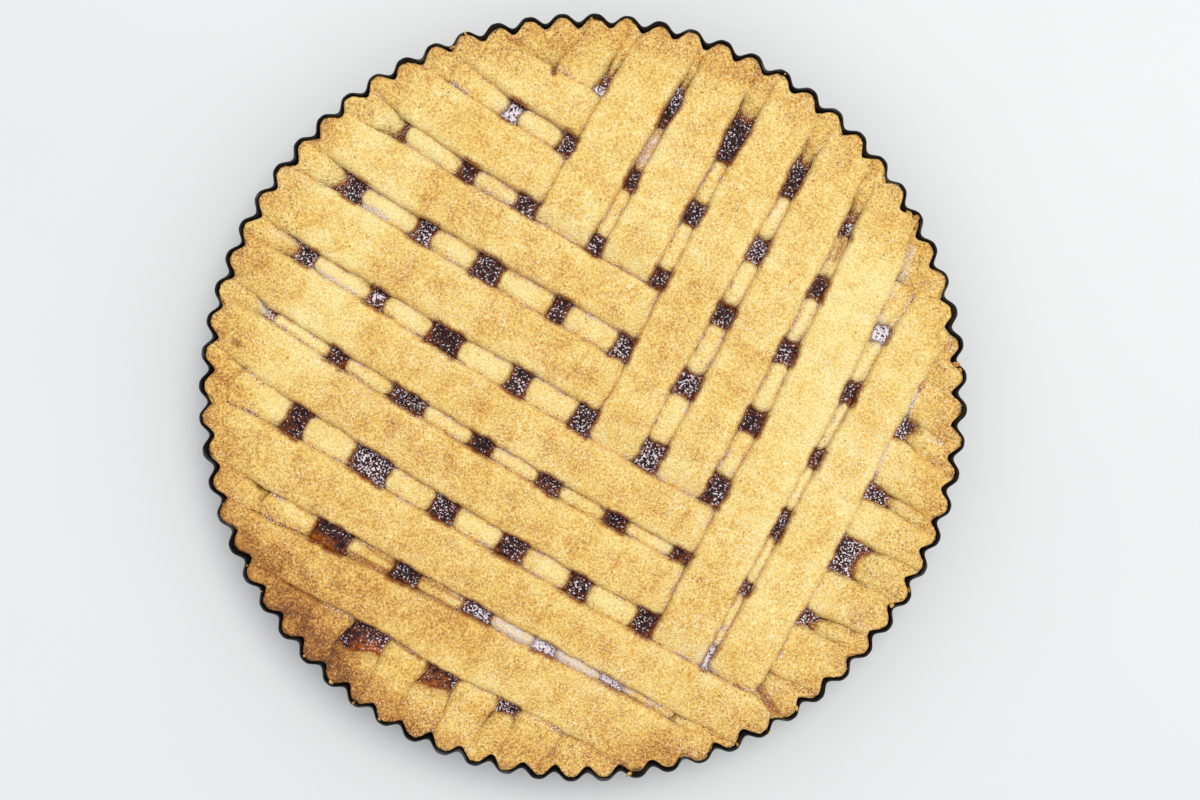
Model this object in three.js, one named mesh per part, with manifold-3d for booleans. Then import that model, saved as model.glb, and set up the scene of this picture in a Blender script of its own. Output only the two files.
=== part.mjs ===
// A linzer tart in its black fluted tin: a pastry case, a layer of jam, and a lattice of pastry strips.
// Millimetres, +Z up. The origin is the middle of the tin's underside, and +X is the tart's right from above.
// The strips are laid in pairs, and each pair lies over everything that was laid before it.

import * as THREE from "three";
import { mergeVertices } from "three/addons/utils/BufferGeometryUtils.js";
import Module from "manifold-3d";

const wasm = await Module();
wasm.setup();

// Driving dimensions of the tin
const TIN_RADIUS = 150; // to the flute tips at the top edge
const TIN_HEIGHT = 28;
const TIN_FLARE = 5; // how much further out the wall stands at the top than at the bottom
const SHEET = 0.9; // thickness of the steel
const FLUTES = 72;
const FLUTE_DEPTH = 3.4;
const FLUTE_SHARPNESS = 1.5; // above 1 the lobes are wide and the creases between them narrow
const FLUTE_TURN = THREE.MathUtils.degToRad(-1.83); // from +X to a flute tip
const CREASE_TURN = FLUTE_TURN + Math.PI / FLUTES; // from +X to the crease beside it
const SIDES_PER_FLUTE = 5;

// Driving dimensions of the pastry case and the jam
const GAP = 0.3; // between pieces that touch
const WALL_GAP = 0.45; // between case and tin, more than GAP because the flutes slant
const SHRINK = 1.1; // how far the baked case has drawn back from the tin's creases at the top
const RIM_TOP = 28;
const RIM_BEVEL = 1.2;
const RIM_INNER = 139; // radius where the rim begins to slope down
const RIM_SHOULDER = 133;
const SHOULDER_TOP = 25.6;
const JAM_RADIUS = 125.5; // radius where the slope meets the jam
const JAM_TOP = 20;
const FLOOR_RADIUS = 119;
const FLOOR_TOP = 9;
const HOLLOW_SIDES = 54;
const CASE_INSET = SHEET + WALL_GAP; // of the case from the outside of the tin

// Driving dimensions of the lattice
const LATTICE_TURN = THREE.MathUtils.degToRad(-27.5); // from +X to the a strips
const LOWER_BED = 20.35; // underside of a strip that lies on the jam
const UPPER_BED = 24.95; // underside of a strip that lies on another strip
const STRIP_HEIGHT = 4.1;
const PUFF = 0.7; // how much higher a lower strip stands where nothing lies on it
const SAG = 0.6; // how far an upper strip hangs between two crossings
const RIM_BED = 25.6; // underside of a strip's end, let into the rim
const RIM_STRIP_TOP = 28.7;
const END_INSET = 0.5; // of a strip's end from the outline of the case
const CROSSING_MARGIN = 0.5;
const RIM_CROSSING = 128; // past this radius a strip ends under the later one that it meets
const END_STEP = 11; // length of a strip's facets near its ends
const CLEAR_HEIGHT = 8; // how far a solid that only cuts reaches past what it cuts
const OVERSHOOT = 3; // how far past the tin a strip is made before its ends are trimmed

// The top of the tart rises and falls in a few long waves: length, height, direction and phase of each.
const WAVES = [
  { length: 190, height: 0.16, heading: THREE.MathUtils.degToRad(25), phase: 0.7 },
  { length: 150, height: 0.14, heading: THREE.MathUtils.degToRad(140), phase: 2.1 },
  { length: 120, height: 0.12, heading: THREE.MathUtils.degToRad(80), phase: 4.0 },
];

// Each strip runs along one lattice axis. offset is its place on the other axis at the middle, and lean, bow
// and swing are its first, second and third order departures UNIT further on. width is taken at the middle,
// and taper is how much wider the strip is UNIT further on.
const UNIT = 100;
const STRIPS = [
  { name: "strip_a1", laid: 2, offset: 98, lean: -1, bow: -3.3, swing: -8, width: 16, taper: -0.7 },
  { name: "strip_a2", laid: 2, offset: 69, lean: -2, bow: -0.6, swing: -3.5, width: 17.5, taper: -2 },
  { name: "strip_a3", laid: 4, offset: 40.5, lean: -3.5, bow: -1, swing: -1.5, width: 18.5, taper: 0 },
  { name: "strip_a4", laid: 4, offset: 9, lean: -3, bow: 1.5, swing: 0, width: 19, taper: -2.8 },
  { name: "strip_a5", laid: 6, offset: -23, lean: -4.8, bow: 2.5, swing: 0.7, width: 18, taper: -0.6 },
  { name: "strip_a6", laid: 6, offset: -50, lean: -4, bow: 3, swing: 0, width: 19.5, taper: 1 },
  { name: "strip_a7", laid: 8, offset: -80.5, lean: -3.7, bow: 0.5, swing: 1, width: 19, taper: -1.5 },
  { name: "strip_a8", laid: 8, offset: -107.5, lean: 0.6, bow: -1.2, swing: -1.4, width: 19.5, taper: 3.8 },
  { name: "strip_b1", laid: 1, offset: -105.5, lean: 13.6, bow: 3.2, swing: -1, width: 22, taper: 0.4 },
  { name: "strip_b2", laid: 1, offset: -75.5, lean: 11.2, bow: 4, swing: -1.5, width: 17.5, taper: -2 },
  { name: "strip_b3", laid: 3, offset: -40.5, lean: 5, bow: -0.3, swing: 0, width: 19.5, taper: 2.7 },
  { name: "strip_b4", laid: 3, offset: -10.5, lean: 3.3, bow: -1, swing: -0.5, width: 18.5, taper: 1.9 },
  { name: "strip_b5", laid: 5, offset: 19, lean: 0.9, bow: -0.3, swing: 0.4, width: 18.5, taper: 2 },
  { name: "strip_b6", laid: 5, offset: 49, lean: 0.4, bow: -2, swing: 0.7, width: 18.5, taper: 1 },
  { name: "strip_b7", laid: 7, offset: 78.5, lean: 0.5, bow: -2, swing: -1.5, width: 20.5, taper: 0.5 },
  { name: "strip_b8", laid: 7, offset: 104, lean: 1, bow: -0.2, swing: 2.3, width: 18.5, taper: -0.4 },
];

// A strip's section, from its left edge round over the crown and back under: side is a share of half its
// width, and up a share of its height.
const SECTION = [
  { side: -1, up: 0 },
  { side: -0.86, up: 0.8 },
  { side: 0, up: 1 },
  { side: 0.86, up: 0.8 },
  { side: 1, up: 0 },
];
const CLEARANCE_SECTION = [
  { side: -1, up: 0 },
  { side: -1, up: 1 },
  { side: 1, up: 1 },
  { side: 1, up: 0 },
];

const MATERIALS = {
  tin: new THREE.MeshStandardMaterial({ color: 0x17171a, roughness: 0.45, metalness: 0.6 }),
  crust: new THREE.MeshStandardMaterial({ color: 0xd9a55c, roughness: 0.85, metalness: 0 }),
  jam: new THREE.MeshStandardMaterial({ color: 0x3a1512, roughness: 0.25, metalness: 0 }),
  lattice: new THREE.MeshStandardMaterial({ color: 0xe6bb70, roughness: 0.85, metalness: 0 }),
};

const WELD = 1e-4; // corners closer than this are one corner
const ROUNDS = 12; // of a search that closes in on a place along a strip

const smooth = THREE.MathUtils.smoothstep;
const mix = THREE.MathUtils.lerp;

// Closed solids from three.js geometry, and back

function solidOf(geometry) {
  geometry.deleteAttribute("normal");
  geometry.deleteAttribute("uv");
  const welded = mergeVertices(geometry, WELD);
  const corners = welded.index.array;
  const triangles = [];
  for (let i = 0; i < corners.length; i += 3) {
    const [a, b, c] = corners.slice(i, i + 3);
    if (a !== b && b !== c && c !== a) triangles.push(a, b, c);
  }
  const vertProperties = new Float32Array(welded.attributes.position.array);
  const triVerts = new Uint32Array(triangles);
  return new wasm.Manifold(new wasm.Mesh({ numProp: 3, vertProperties, triVerts }));
}

// The largest of the bodies that a cut has left.
function withoutScraps(solid) {
  return solid.decompose().sort((a, b) => b.volume() - a.volume())[0];
}

function geometryOf(solid) {
  const { vertProperties, triVerts } = solid.getMesh();
  const geometry = new THREE.BufferGeometry();
  geometry.setAttribute("position", new THREE.BufferAttribute(vertProperties, 3));
  geometry.setIndex(new THREE.BufferAttribute(triVerts, 1));
  return geometry;
}

function moveVertices(geometry, move) {
  const position = geometry.attributes.position;
  const point = new THREE.Vector3();
  for (let i = 0; i < position.count; i += 1) {
    move(point.fromBufferAttribute(position, i));
    position.setXYZ(i, point.x, point.y, point.z);
  }
  return geometry;
}

// profile lists radius and height from the axis outward along the underside, up, and back to the axis.
function revolved(profile, sides) {
  const points = profile.map(([radius, height]) => new THREE.Vector2(radius, height));
  return new THREE.LatheGeometry(points, sides, CREASE_TURN).rotateX(Math.PI / 2);
}

// The flutes

function wallRadius(height) {
  return TIN_RADIUS - TIN_FLARE * (1 - height / TIN_HEIGHT);
}

// 0 at a flute's tip and 1 in the crease between two flutes.
function creaseShare(angle) {
  return ((1 - Math.cos(FLUTES * (angle - FLUTE_TURN))) / 2) ** FLUTE_SHARPNESS;
}

// A solid of revolution whose wall is pushed in between the flute tips, by more towards the top if it has
// shrunk.
function fluted(profile, shrink) {
  return moveVertices(revolved(profile, FLUTES * SIDES_PER_FLUTE), (point) => {
    const radius = Math.hypot(point.x, point.y);
    if (radius < WELD) return;
    const depth = FLUTE_DEPTH + shrink * (point.z / TIN_HEIGHT);
    const scale = 1 - (depth * creaseShare(Math.atan2(point.y, point.x))) / radius;
    point.x *= scale;
    point.y *= scale;
  });
}

// A fluted block with straight flaring sides, inset from the outside of the tin.
function flutedBlock(bottom, top, inset, shrink) {
  const profile = [
    [0, bottom],
    [wallRadius(bottom) - inset, bottom],
    [wallRadius(top) - inset, top],
    [0, top],
  ];
  return solidOf(fluted(profile, shrink));
}

function tinSolid() {
  const profile = [
    [0, 0],
    [wallRadius(0), 0],
    [wallRadius(TIN_HEIGHT), TIN_HEIGHT],
    [wallRadius(TIN_HEIGHT) - SHEET, TIN_HEIGHT],
    [wallRadius(SHEET) - SHEET, SHEET],
    [0, SHEET],
  ];
  return solidOf(fluted(profile, 0));
}

// The case and the jam

function caseBlock() {
  const bottom = SHEET + GAP;
  const edge = RIM_TOP - RIM_BEVEL;
  const profile = [
    [0, bottom],
    [wallRadius(bottom) - CASE_INSET, bottom],
    [wallRadius(edge) - CASE_INSET, edge],
    [wallRadius(RIM_TOP) - CASE_INSET - RIM_BEVEL, RIM_TOP],
    [0, RIM_TOP],
  ];
  return solidOf(fluted(profile, SHRINK));
}

// What the case is hollowed by: the slope inside the rim, and the bed of the jam.
function hollow() {
  const profile = [
    [0, FLOOR_TOP],
    [FLOOR_RADIUS, FLOOR_TOP],
    [JAM_RADIUS, JAM_TOP],
    [RIM_SHOULDER, SHOULDER_TOP],
    [RIM_INNER, RIM_TOP],
    [RIM_INNER + CLEAR_HEIGHT, RIM_TOP + CLEAR_HEIGHT],
    [0, RIM_TOP + CLEAR_HEIGHT],
  ];
  return solidOf(revolved(profile, HOLLOW_SIDES));
}

function caseSolid(clearances) {
  const bowl = caseBlock().subtract(hollow());
  return withoutScraps(clearances.reduce((pastry, clearance) => pastry.subtract(clearance), bowl));
}

function jamSolid() {
  const side = 2 * GAP;
  const profile = [
    [0, FLOOR_TOP + GAP],
    [FLOOR_RADIUS - side, FLOOR_TOP + GAP],
    [JAM_RADIUS - side, JAM_TOP],
    [0, JAM_TOP],
  ];
  return solidOf(revolved(profile, HOLLOW_SIDES));
}

// The lattice. A place on a strip is given by its distance along the strip's own axis.

function across(strip, along) {
  const t = along / UNIT;
  return strip.offset + strip.lean * t + strip.bow * t * t + strip.swing * t * t * t;
}

function slope(strip, along) {
  const t = along / UNIT;
  return (strip.lean + 2 * strip.bow * t + 3 * strip.swing * t * t) / UNIT;
}

function halfWidth(strip, along) {
  return (strip.width + (strip.taper * along) / UNIT) / 2;
}

function runsAlongX(strip) {
  return strip.name.startsWith("strip_a");
}

// The plan position of a point that lies side to the left of the strip's middle line.
function planPoint(strip, along, side) {
  const tilt = slope(strip, along);
  const alongX = runsAlongX(strip);
  const left = (alongX ? side : -side) / Math.hypot(1, tilt);
  const u = along - left * tilt;
  const v = across(strip, along) + left;
  const point = alongX ? new THREE.Vector2(u, v) : new THREE.Vector2(v, u);
  return point.rotateAround(new THREE.Vector2(), LATTICE_TURN);
}

function otherStrips(strip) {
  return STRIPS.filter((other) => runsAlongX(other) !== runsAlongX(strip));
}

// Where strip meets other: the place along it, how far to each side other covers it, the distance from the
// middle of the tart, and whether strip is on top.
function crossing(strip, other) {
  let along = other.offset;
  for (let round = 0; round < ROUNDS; round += 1) along = across(other, across(strip, along));
  const beside = across(strip, along);
  const skew = Math.abs(slope(strip, along) + slope(other, beside));
  const reach = halfWidth(other, beside) + halfWidth(strip, along) * skew + CROSSING_MARGIN;
  const radius = Math.hypot(along, beside);
  return { along, reach, radius, onTop: strip.laid > other.laid };
}

function crossings(strip) {
  const all = otherStrips(strip).map((other) => crossing(strip, other));
  return all.filter(({ radius }) => radius < TIN_RADIUS).sort((a, b) => a.along - b.along);
}

// Where the strip's middle line is well outside the tin, on the side given by direction.
function outside(strip, direction) {
  const past = TIN_RADIUS + OVERSHOOT;
  let along = 0;
  for (let round = 0; round < ROUNDS; round += 1) {
    along = direction * Math.sqrt(past ** 2 - across(strip, along) ** 2);
  }
  return along;
}

// Both ends of a strip: outside the tin, or under a later strip that it meets on the rim.
function ends(strip) {
  const stops = crossings(strip).filter(({ radius, onTop }) => !onTop && radius > RIM_CROSSING);
  const low = stops.filter(({ along }) => along < 0).map(({ along }) => along);
  const high = stops.filter(({ along }) => along > 0).map(({ along }) => along);
  return [Math.max(outside(strip, -1), ...low), Math.min(outside(strip, 1), ...high)];
}

// The places along a strip where it has a ring of corners.
function stations(strip) {
  const [start, end] = ends(strip);
  const inner = crossings(strip).filter(({ radius }) => radius < RIM_CROSSING);
  const edges = inner.flatMap(({ along, reach }) => [along - reach, along + reach]);
  const places = [];
  for (let i = 1; i + 1 < edges.length; i += 2) {
    places.push(edges[i], (edges[i] + edges[i + 1]) / 2, edges[i + 1]);
  }
  const first = edges[0];
  const last = edges[edges.length - 1];
  return [...evenly(start, first), first, ...places, last, ...evenly(end, last).reverse()];
}

// Places from one to just before another, no further apart than END_STEP.
function evenly(from, to) {
  const steps = Math.ceil(Math.abs(to - from) / END_STEP);
  return Array.from({ length: steps }, (_, i) => mix(from, to, i / steps));
}

// The underside and the top of the strip's middle line over the jam, from the crossings on both sides.
function levels(strip, along) {
  const met = crossings(strip);
  const before = met.filter((c) => c.along - c.reach <= along).pop() ?? met[0];
  const after = met.find((c) => c.along + c.reach >= along) ?? met[met.length - 1];
  const from = before.along + before.reach;
  const to = after.along - after.reach;
  const share = before === after ? 0 : THREE.MathUtils.clamp((along - from) / (to - from), 0, 1);
  const rise = mix(Number(before.onTop), Number(after.onTop), smooth(share, 0, 1));
  const middle = Math.sin(Math.PI * share);
  const sag = before.onTop && after.onTop ? SAG * middle : 0;
  const puff = PUFF * middle * (1 - rise);
  const bed = mix(LOWER_BED, UPPER_BED, rise) - sag;
  return { bed, top: bed + STRIP_HEIGHT + puff };
}

// A strip as a cylinder with one side for each line of its section, bent along the strip. A clearance is the
// same with straight sides and a gap all round, and reaches above it: it cuts room for the strip.
function stripBody(strip, clearance) {
  const places = stations(strip);
  const grow = clearance ? GAP : 0;
  const section = clearance ? CLEARANCE_SECTION : SECTION;
  const shape = new THREE.CylinderGeometry(1, 1, 1, section.length, places.length - 1);
  moveVertices(shape, (point) => {
    const along = places[Math.round((0.5 - point.y) * (places.length - 1))];
    const isCentre = Math.hypot(point.x, point.z) < WELD;
    const turn = Math.atan2(point.x, point.z) / (2 * Math.PI);
    const corner = section[Math.round((turn + 1) * section.length) % section.length];
    const side = isCentre ? 0 : corner.side * (halfWidth(strip, along) + grow);
    const up = isCentre ? 0.5 : corner.up;
    const plan = planPoint(strip, along, side);
    const { bed, top } = levels(strip, along);
    const onRim = smooth(plan.length(), JAM_RADIUS - END_STEP, RIM_INNER);
    const low = mix(bed, RIM_BED, onRim) - grow;
    const high = mix(top, RIM_STRIP_TOP, onRim) + (clearance ? CLEAR_HEIGHT : 0);
    point.set(plan.x, plan.y, mix(low, high, up));
  });
  return solidOf(shape);
}

// A strip trimmed to the outline of the case and cut clear of what was laid over it on the rim.
function stripSolid(strip, trim, clearances) {
  const later = otherStrips(strip).filter((other) => other.laid > strip.laid);
  const trimmed = stripBody(strip, false).intersect(trim);
  return withoutScraps(later.reduce((pastry, other) => pastry.subtract(clearances.get(other.name)), trimmed));
}

// Everything above the jam follows the waves of the top.
function unevenly(geometry) {
  return moveVertices(geometry, (point) => {
    const rises = WAVES.map(({ length, height, heading, phase }) => {
      const distance = point.x * Math.cos(heading) + point.y * Math.sin(heading);
      return height * Math.sin((2 * Math.PI * distance) / length + phase);
    });
    const rise = rises.reduce((sum, part) => sum + part, 0);
    point.z += rise * smooth(point.z, JAM_TOP, RIM_TOP);
  });
}

function meshOf(name, solid, material, finish = (geometry) => geometry) {
  const mesh = new THREE.Mesh(finish(geometryOf(solid)), material.clone());
  mesh.name = name;
  return mesh;
}

function buildTart() {
  const clearances = new Map(STRIPS.map((strip) => [strip.name, stripBody(strip, true)]));
  const trim = flutedBlock(JAM_TOP - CLEAR_HEIGHT, RIM_TOP + CLEAR_HEIGHT, CASE_INSET + END_INSET, SHRINK);
  const tart = new THREE.Group();
  tart.name = "linzer_tart";
  tart.add(meshOf("tin", tinSolid(), MATERIALS.tin));
  tart.add(meshOf("crust", caseSolid([...clearances.values()]), MATERIALS.crust, unevenly));
  tart.add(meshOf("jam", jamSolid(), MATERIALS.jam));
  for (const strip of STRIPS) {
    tart.add(meshOf(strip.name, stripSolid(strip, trim, clearances), MATERIALS.lattice, unevenly));
  }
  return tart;
}

export default buildTart();
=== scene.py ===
"""Dresses a linzer tart: its fluted tin, pastry case, dark jam, lattice of baked strips, sugar and crumbs.

Everything is in metres, with +Z up. The strips follow the same formulas as the solids that they stand for,
on a finer grid. Each vertex of the pastry and the jam also says how baked, stained and sugared it is, and
the materials are painted from that. The baking and sugar of the seams carry some painted shade too.
"""

import math
from collections import namedtuple

import bpy
import numpy as np
from bpy.props import FloatProperty, FloatVectorProperty, IntProperty, PointerProperty
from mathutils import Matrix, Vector


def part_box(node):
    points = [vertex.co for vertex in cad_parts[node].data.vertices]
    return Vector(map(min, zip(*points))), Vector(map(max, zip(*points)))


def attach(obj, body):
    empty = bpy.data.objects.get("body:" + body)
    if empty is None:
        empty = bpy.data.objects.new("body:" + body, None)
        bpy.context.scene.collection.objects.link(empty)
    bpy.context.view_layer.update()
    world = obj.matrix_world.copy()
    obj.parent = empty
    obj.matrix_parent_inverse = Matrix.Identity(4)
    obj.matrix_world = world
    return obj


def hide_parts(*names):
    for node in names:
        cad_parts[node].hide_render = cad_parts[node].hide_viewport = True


bl_info = {
    "name": "Linzer tart",
    "version": (1, 0, 0),
    "blender": (4, 5, 0),
    "location": "3D View > Sidebar > Linzer tart",
    "description": "Bakes a jam tart with a pastry lattice in its fluted tin",
    "category": "Add Mesh",
}

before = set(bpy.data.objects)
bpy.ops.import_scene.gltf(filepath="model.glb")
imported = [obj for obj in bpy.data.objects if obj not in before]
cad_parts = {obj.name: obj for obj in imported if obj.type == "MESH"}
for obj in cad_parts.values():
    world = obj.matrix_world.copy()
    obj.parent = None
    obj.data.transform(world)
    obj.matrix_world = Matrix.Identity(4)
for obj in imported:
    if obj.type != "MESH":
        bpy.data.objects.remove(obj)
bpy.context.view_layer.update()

MM = 0.001

# The tin
TIN_RADIUS = 150 * MM  # to the flute tips at the top edge
TIN_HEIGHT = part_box("tin")[1].z
TIN_FLARE = 5 * MM
FLUTES = 72
FLUTE_DEPTH = 3.4 * MM
FLUTE_SHARPNESS = 1.5
FLUTE_TURN = math.radians(-1.83)

# The pastry case and the jam
CASE_INSET = 1.1 * MM  # of the baked case from the outside of the tin
CASE_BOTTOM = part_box("crust")[0].z
RIM_TOP = 28 * MM
RIM_CIRCLE = 146.4 * MM  # the rim's outline before it is pressed into the flutes
PRESS_START = 135.5 * MM
RIM_ROUNDING = 1.9 * MM
RIM_SLOPE_START = 119.5 * MM
RIM_SLOPE_END = 138 * MM
JAM_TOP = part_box("jam")[1].z
JAM_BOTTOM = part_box("jam")[0].z
JAM_REACH = 137 * MM  # how far up the slope of the rim the risen jam comes
FLOOR_RADIUS = 119 * MM
FLOOR_TOP = 9 * MM

# The lattice
LATTICE_TURN = math.radians(-27.5)  # from +X to the a strips
LOWER_BED = 20.35 * MM
UPPER_BED = 24.95 * MM
STRIP_HEIGHT = 4.1 * MM
PUFF = 1.7 * MM  # how far a strip swells up in a gap that it crosses low down
SAG = 0.6 * MM
SINK = 0.9 * MM  # how far a strip has sunk into those that it lies on
RIM_BED = 25.6 * MM
RIM_STRIP_TOP = 28.7 * MM
ON_RIM_START = 114.5 * MM
RIM_CROSSING = 128 * MM
CROSSING_MARGIN = 0.5 * MM
SPREAD = 0.9 * MM  # how much wider than cut the strips have baked on each side
BURIED = 1.6 * MM  # how far a strip's end runs under the later strip that it meets on the rim
UNIT = 100 * MM
CORNER = 1.3 * MM  # rounding of the corners between two strips, where the jam has caught
ROUNDS = 12  # of closing in on the place where two lines meet
SEEDS_PER_STRIP = 7

Wave =namedtuple("Wave", "length height heading phase")
WAVES = [
    Wave(190 * MM, 0.16 * MM, math.radians(25), 0.7),
    Wave(150 * MM, 0.14 * MM, math.radians(140), 2.1),
    Wave(120 * MM, 0.12 * MM, math.radians(80), 4.0),
]

# offset is a strip's place on the other lattice axis at the middle. lean, bow and swing are its first, second
# and third order departures UNIT further on, and taper is how much wider it is there.
Strip = namedtuple("Strip", "name laid offset lean bow swing width taper seed")


def cut(name, laid, *sizes):
    """A strip whose offset, lean, bow, swing, width and taper are given in millimetres."""
    return Strip(name, laid, *(size * MM for size in sizes), seed=sum(map(ord, name)) * SEEDS_PER_STRIP)


STRIPS = [
    cut("strip_a1", 2, 98, -1, -3.3, -8, 16, -0.7),
    cut("strip_a2", 2, 69, -2, -0.6, -3.5, 17.5, -2),
    cut("strip_a3", 4, 40.5, -3.5, -1, -1.5, 18.5, 0),
    cut("strip_a4", 4, 9, -3, 1.5, 0, 19, -2.8),
    cut("strip_a5", 6, -23, -4.8, 2.5, 0.7, 18, -0.6),
    cut("strip_a6", 6, -50, -4, 3, 0, 19.5, 1),
    cut("strip_a7", 8, -80.5, -3.7, 0.5, 1, 19, -1.5),
    cut("strip_a8", 8, -107.5, 0.6, -1.2, -1.4, 19.5, 3.8),
    cut("strip_b1", 1, -105.5, 13.6, 3.2, -1, 22, 0.4),
    cut("strip_b2", 1, -75.5, 11.2, 4, -1.5, 17.5, -2),
    cut("strip_b3", 3, -40.5, 5, -0.3, 0, 19.5, 2.7),
    cut("strip_b4", 3, -10.5, 3.3, -1, -0.5, 18.5, 1.9),
    cut("strip_b5", 5, 19, 0.9, -0.3, 0.4, 18.5, 2),
    cut("strip_b6", 5, 49, 0.4, -2, 0.7, 18.5, 1),
    cut("strip_b7", 7, 78.5, 0.5, -2, -1.5, 20.5, 0.5),
    cut("strip_b8", 7, 104, 1, -0.2, 2.3, 18.5, -0.4),
]

# Where a strip's edge bulges out by more than the rest, or is drawn in if the amount is negative. The hand
# is 1 for the left edge and -1 for the right, and the place along, reach and amount are in millimetres.
Bulge = namedtuple("Bulge", "strip hand along reach amount")
BULGES = [
    Bulge("strip_a8", -1, 2, 14, 1.8),
    Bulge("strip_b8", -1, -12, 28, 1.8),
    Bulge("strip_b3", -1, -127, 8, -3.2),
]

A_BROWNER = 0.03  # how much more the a strips have baked than the b strips

# Strokes of a soft round brush, in millimetres, from one place to another: where the oven has toasted the
# pastry most and least, where jam has run onto it, where the icing sugar has drifted, where the rim's slope
# dips below the jam, and where the jam is thin.
Stroke = namedtuple("Stroke", "x0 y0 x1 y1 radius amount")
TOASTED = [
    Stroke(-134, -64, -98, -108, 14, 0.39),
    Stroke(-100, -108, -70, -128, 11, 0.22),
    Stroke(-130, -52, -50, -88, 17, 0.13),
    Stroke(-140, -24, -112, -70, 14, 0.08),
    Stroke(-145, -32, -138, -50, 8, 0.2),
    Stroke(-20, 138, 60, 130, 14, 0.08),
    Stroke(-112, -71, -101, -81, 4, 0.26),
    Stroke(-130, -70, -104, -102, 11, 0.39),
    Stroke(-122, -62, -94, -92, 9, 0.26),
    Stroke(-139, 24, -141, -22, 8, 0.08),
    Stroke(-36, -137, 30, -139, 8, 0.08),
    Stroke(-84, -62, -54, -77, 4, 0.24),
    Stroke(-78, -97, -60, -110, 6, 0.2),
    Stroke(-52, -113, -38, -121, 6, 0.1),
]
PALER = [
    Stroke(76, -70, 84, -10, 17, 0.14),
    Stroke(88, -8, 104, 44, 18, 0.22),
    Stroke(92, -60, 126, 22, 10, 0.11),
    Stroke(-98, 86, -84, 100, 10, 0.2),
    Stroke(-112, 13, -66, 102, 13, 0.16),
    Stroke(-20, 124, 30, 127, 11, 0.1),
]
STAINED = [
    Stroke(69, -113.5, 75, -123, 2.4, 0.55),
    Stroke(-132, -57, -127, -71, 1.6, 0.4),
    Stroke(-136, 22, -134, 21, 2, 0.5),
    Stroke(30, 103, 21, 92, 2.4, 0.4),
    Stroke(-91, -61, -74, -70, 1.7, 0.5),
    Stroke(102.6, 63, 98.3, 54, 1.6, 0.45),
    Stroke(-11.4, 128.2, -11.2, 126.5, 1.4, 0.8),
    Stroke(-90, -54, -75, -65, 1.4, 0.42),
    Stroke(-63, -71, -48, -79, 1.4, 0.42),
    Stroke(-66, -75, -50, -83, 1.4, 0.4),
    Stroke(-118, -71, -105, -79, 1.6, 0.4),
    Stroke(-105, -79, -90, -85, 1.4, 0.42),
    Stroke(-77, -93, -64, -102, 1.4, 0.5),
    Stroke(129.5, -9.5, 131.5, -13, 2, 0.45),
]
DRIFTS = [
    Stroke(-33, -89.5, 16, -114.5, 4.2, 1.6),
    Stroke(-44, -83, -38, -87, 3.5, 0.5),
    Stroke(-120, 43, -101, 36, 6, 0.6),
    Stroke(-104, -68, -101, -69, 5, 0.7),
    Stroke(126, 58, 123.5, 42, 3, 0.7),
    Stroke(119, 21, 114, 30, 5, 1.3),
    Stroke(106, 66, 116, 56.5, 2.2, 1.0),
    Stroke(45, -112, 50, -98, 3.5, 1.6),
    Stroke(-30, 113, -27, 111, 4, 1.1),
    Stroke(5, 121, 9, 118, 2.5, 0.8),
    Stroke(31, 104, 23, 94, 2.2, 0.9),
    Stroke(-105, 49, -90, 40, 2.2, 1.5),
    Stroke(-85, 75, -77, 71, 1.8, 1.2),
    Stroke(-81.5, 39.6, -79.5, 39.6, 1.2, 1.1),
    Stroke(119, -19, 113, -28, 2.2, 1.4),
    Stroke(128.5, 1, 126, -6, 2.2, 1.2),
    Stroke(134, -15, 138, -17, 2, 0.45),
    Stroke(-119, 65, -113, 62, 3, 0.5),
    Stroke(-126, 37, -123, 31, 2, 0.8),
]
HOLLOWS = [
    Stroke(-91, -94.5, -80, -93, 6.5, 1),
    Stroke(-60, -108.5, -53, -109.5, 4.5, 1),
    Stroke(-32, -120.5, -27, -121, 3, 1),
    Stroke(124, -12, 127, -12, 3, 1),
    Stroke(-126, -33.5, -124.5, -34, 2, 1),
]
AMBER_JAM = [
    Stroke(-89, -98.5, -83, -98.5, 4, 0.58),
    Stroke(-61, -111, -56, -111.5, 3.2, 0.5),
    Stroke(-89, -94, -82, -94, 4, 0.3),
    Stroke(-60, -107, -57, -107.5, 3, 0.25),
    Stroke(-105, -55.5, -99.5, -58, 2.8, 0.5),
]


# Shaping


def ease(share):
    share = np.clip(share, 0, 1)
    return share * share * (3 - 2 * share)


def step(value, low, high):
    """0 up to low, 1 past high, and a smooth step between."""
    return ease((value - low) / (high - low))


def fall(value, low, high):
    """1 up to low, 0 past high, and a smooth step between."""
    return 1 - step(value, low, high)


def bell(value, width):
    """1 at 0, falling away on both sides of it."""
    return np.exp(-((value / width) ** 2))


def fading(distance, width):
    """1 up to a distance of 0, fading away past it."""
    return np.exp(-np.maximum(distance, 0) / width)


def mix(start, end, share):
    return start + (end - start) * share


def turned(x, y, angle):
    return x * math.cos(angle) - y * math.sin(angle), x * math.sin(angle) + y * math.cos(angle)


REPEAT = 256  # cells after which the noise repeats
BEAD_REACH = 0.75  # from a bead's middle to its foot, as a share of its size
CRACK_SPACING = 7 * MM
CRACK_WIDTH = 0.1  # as a height of the bumps whose zero line a crack follows
CRACKED_PATCH = 11 * MM
STROKE_CORE = 0.35  # a stroke is full out to this share of its radius
STROKE_REACH = 1.5  # and gone at this one


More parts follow.
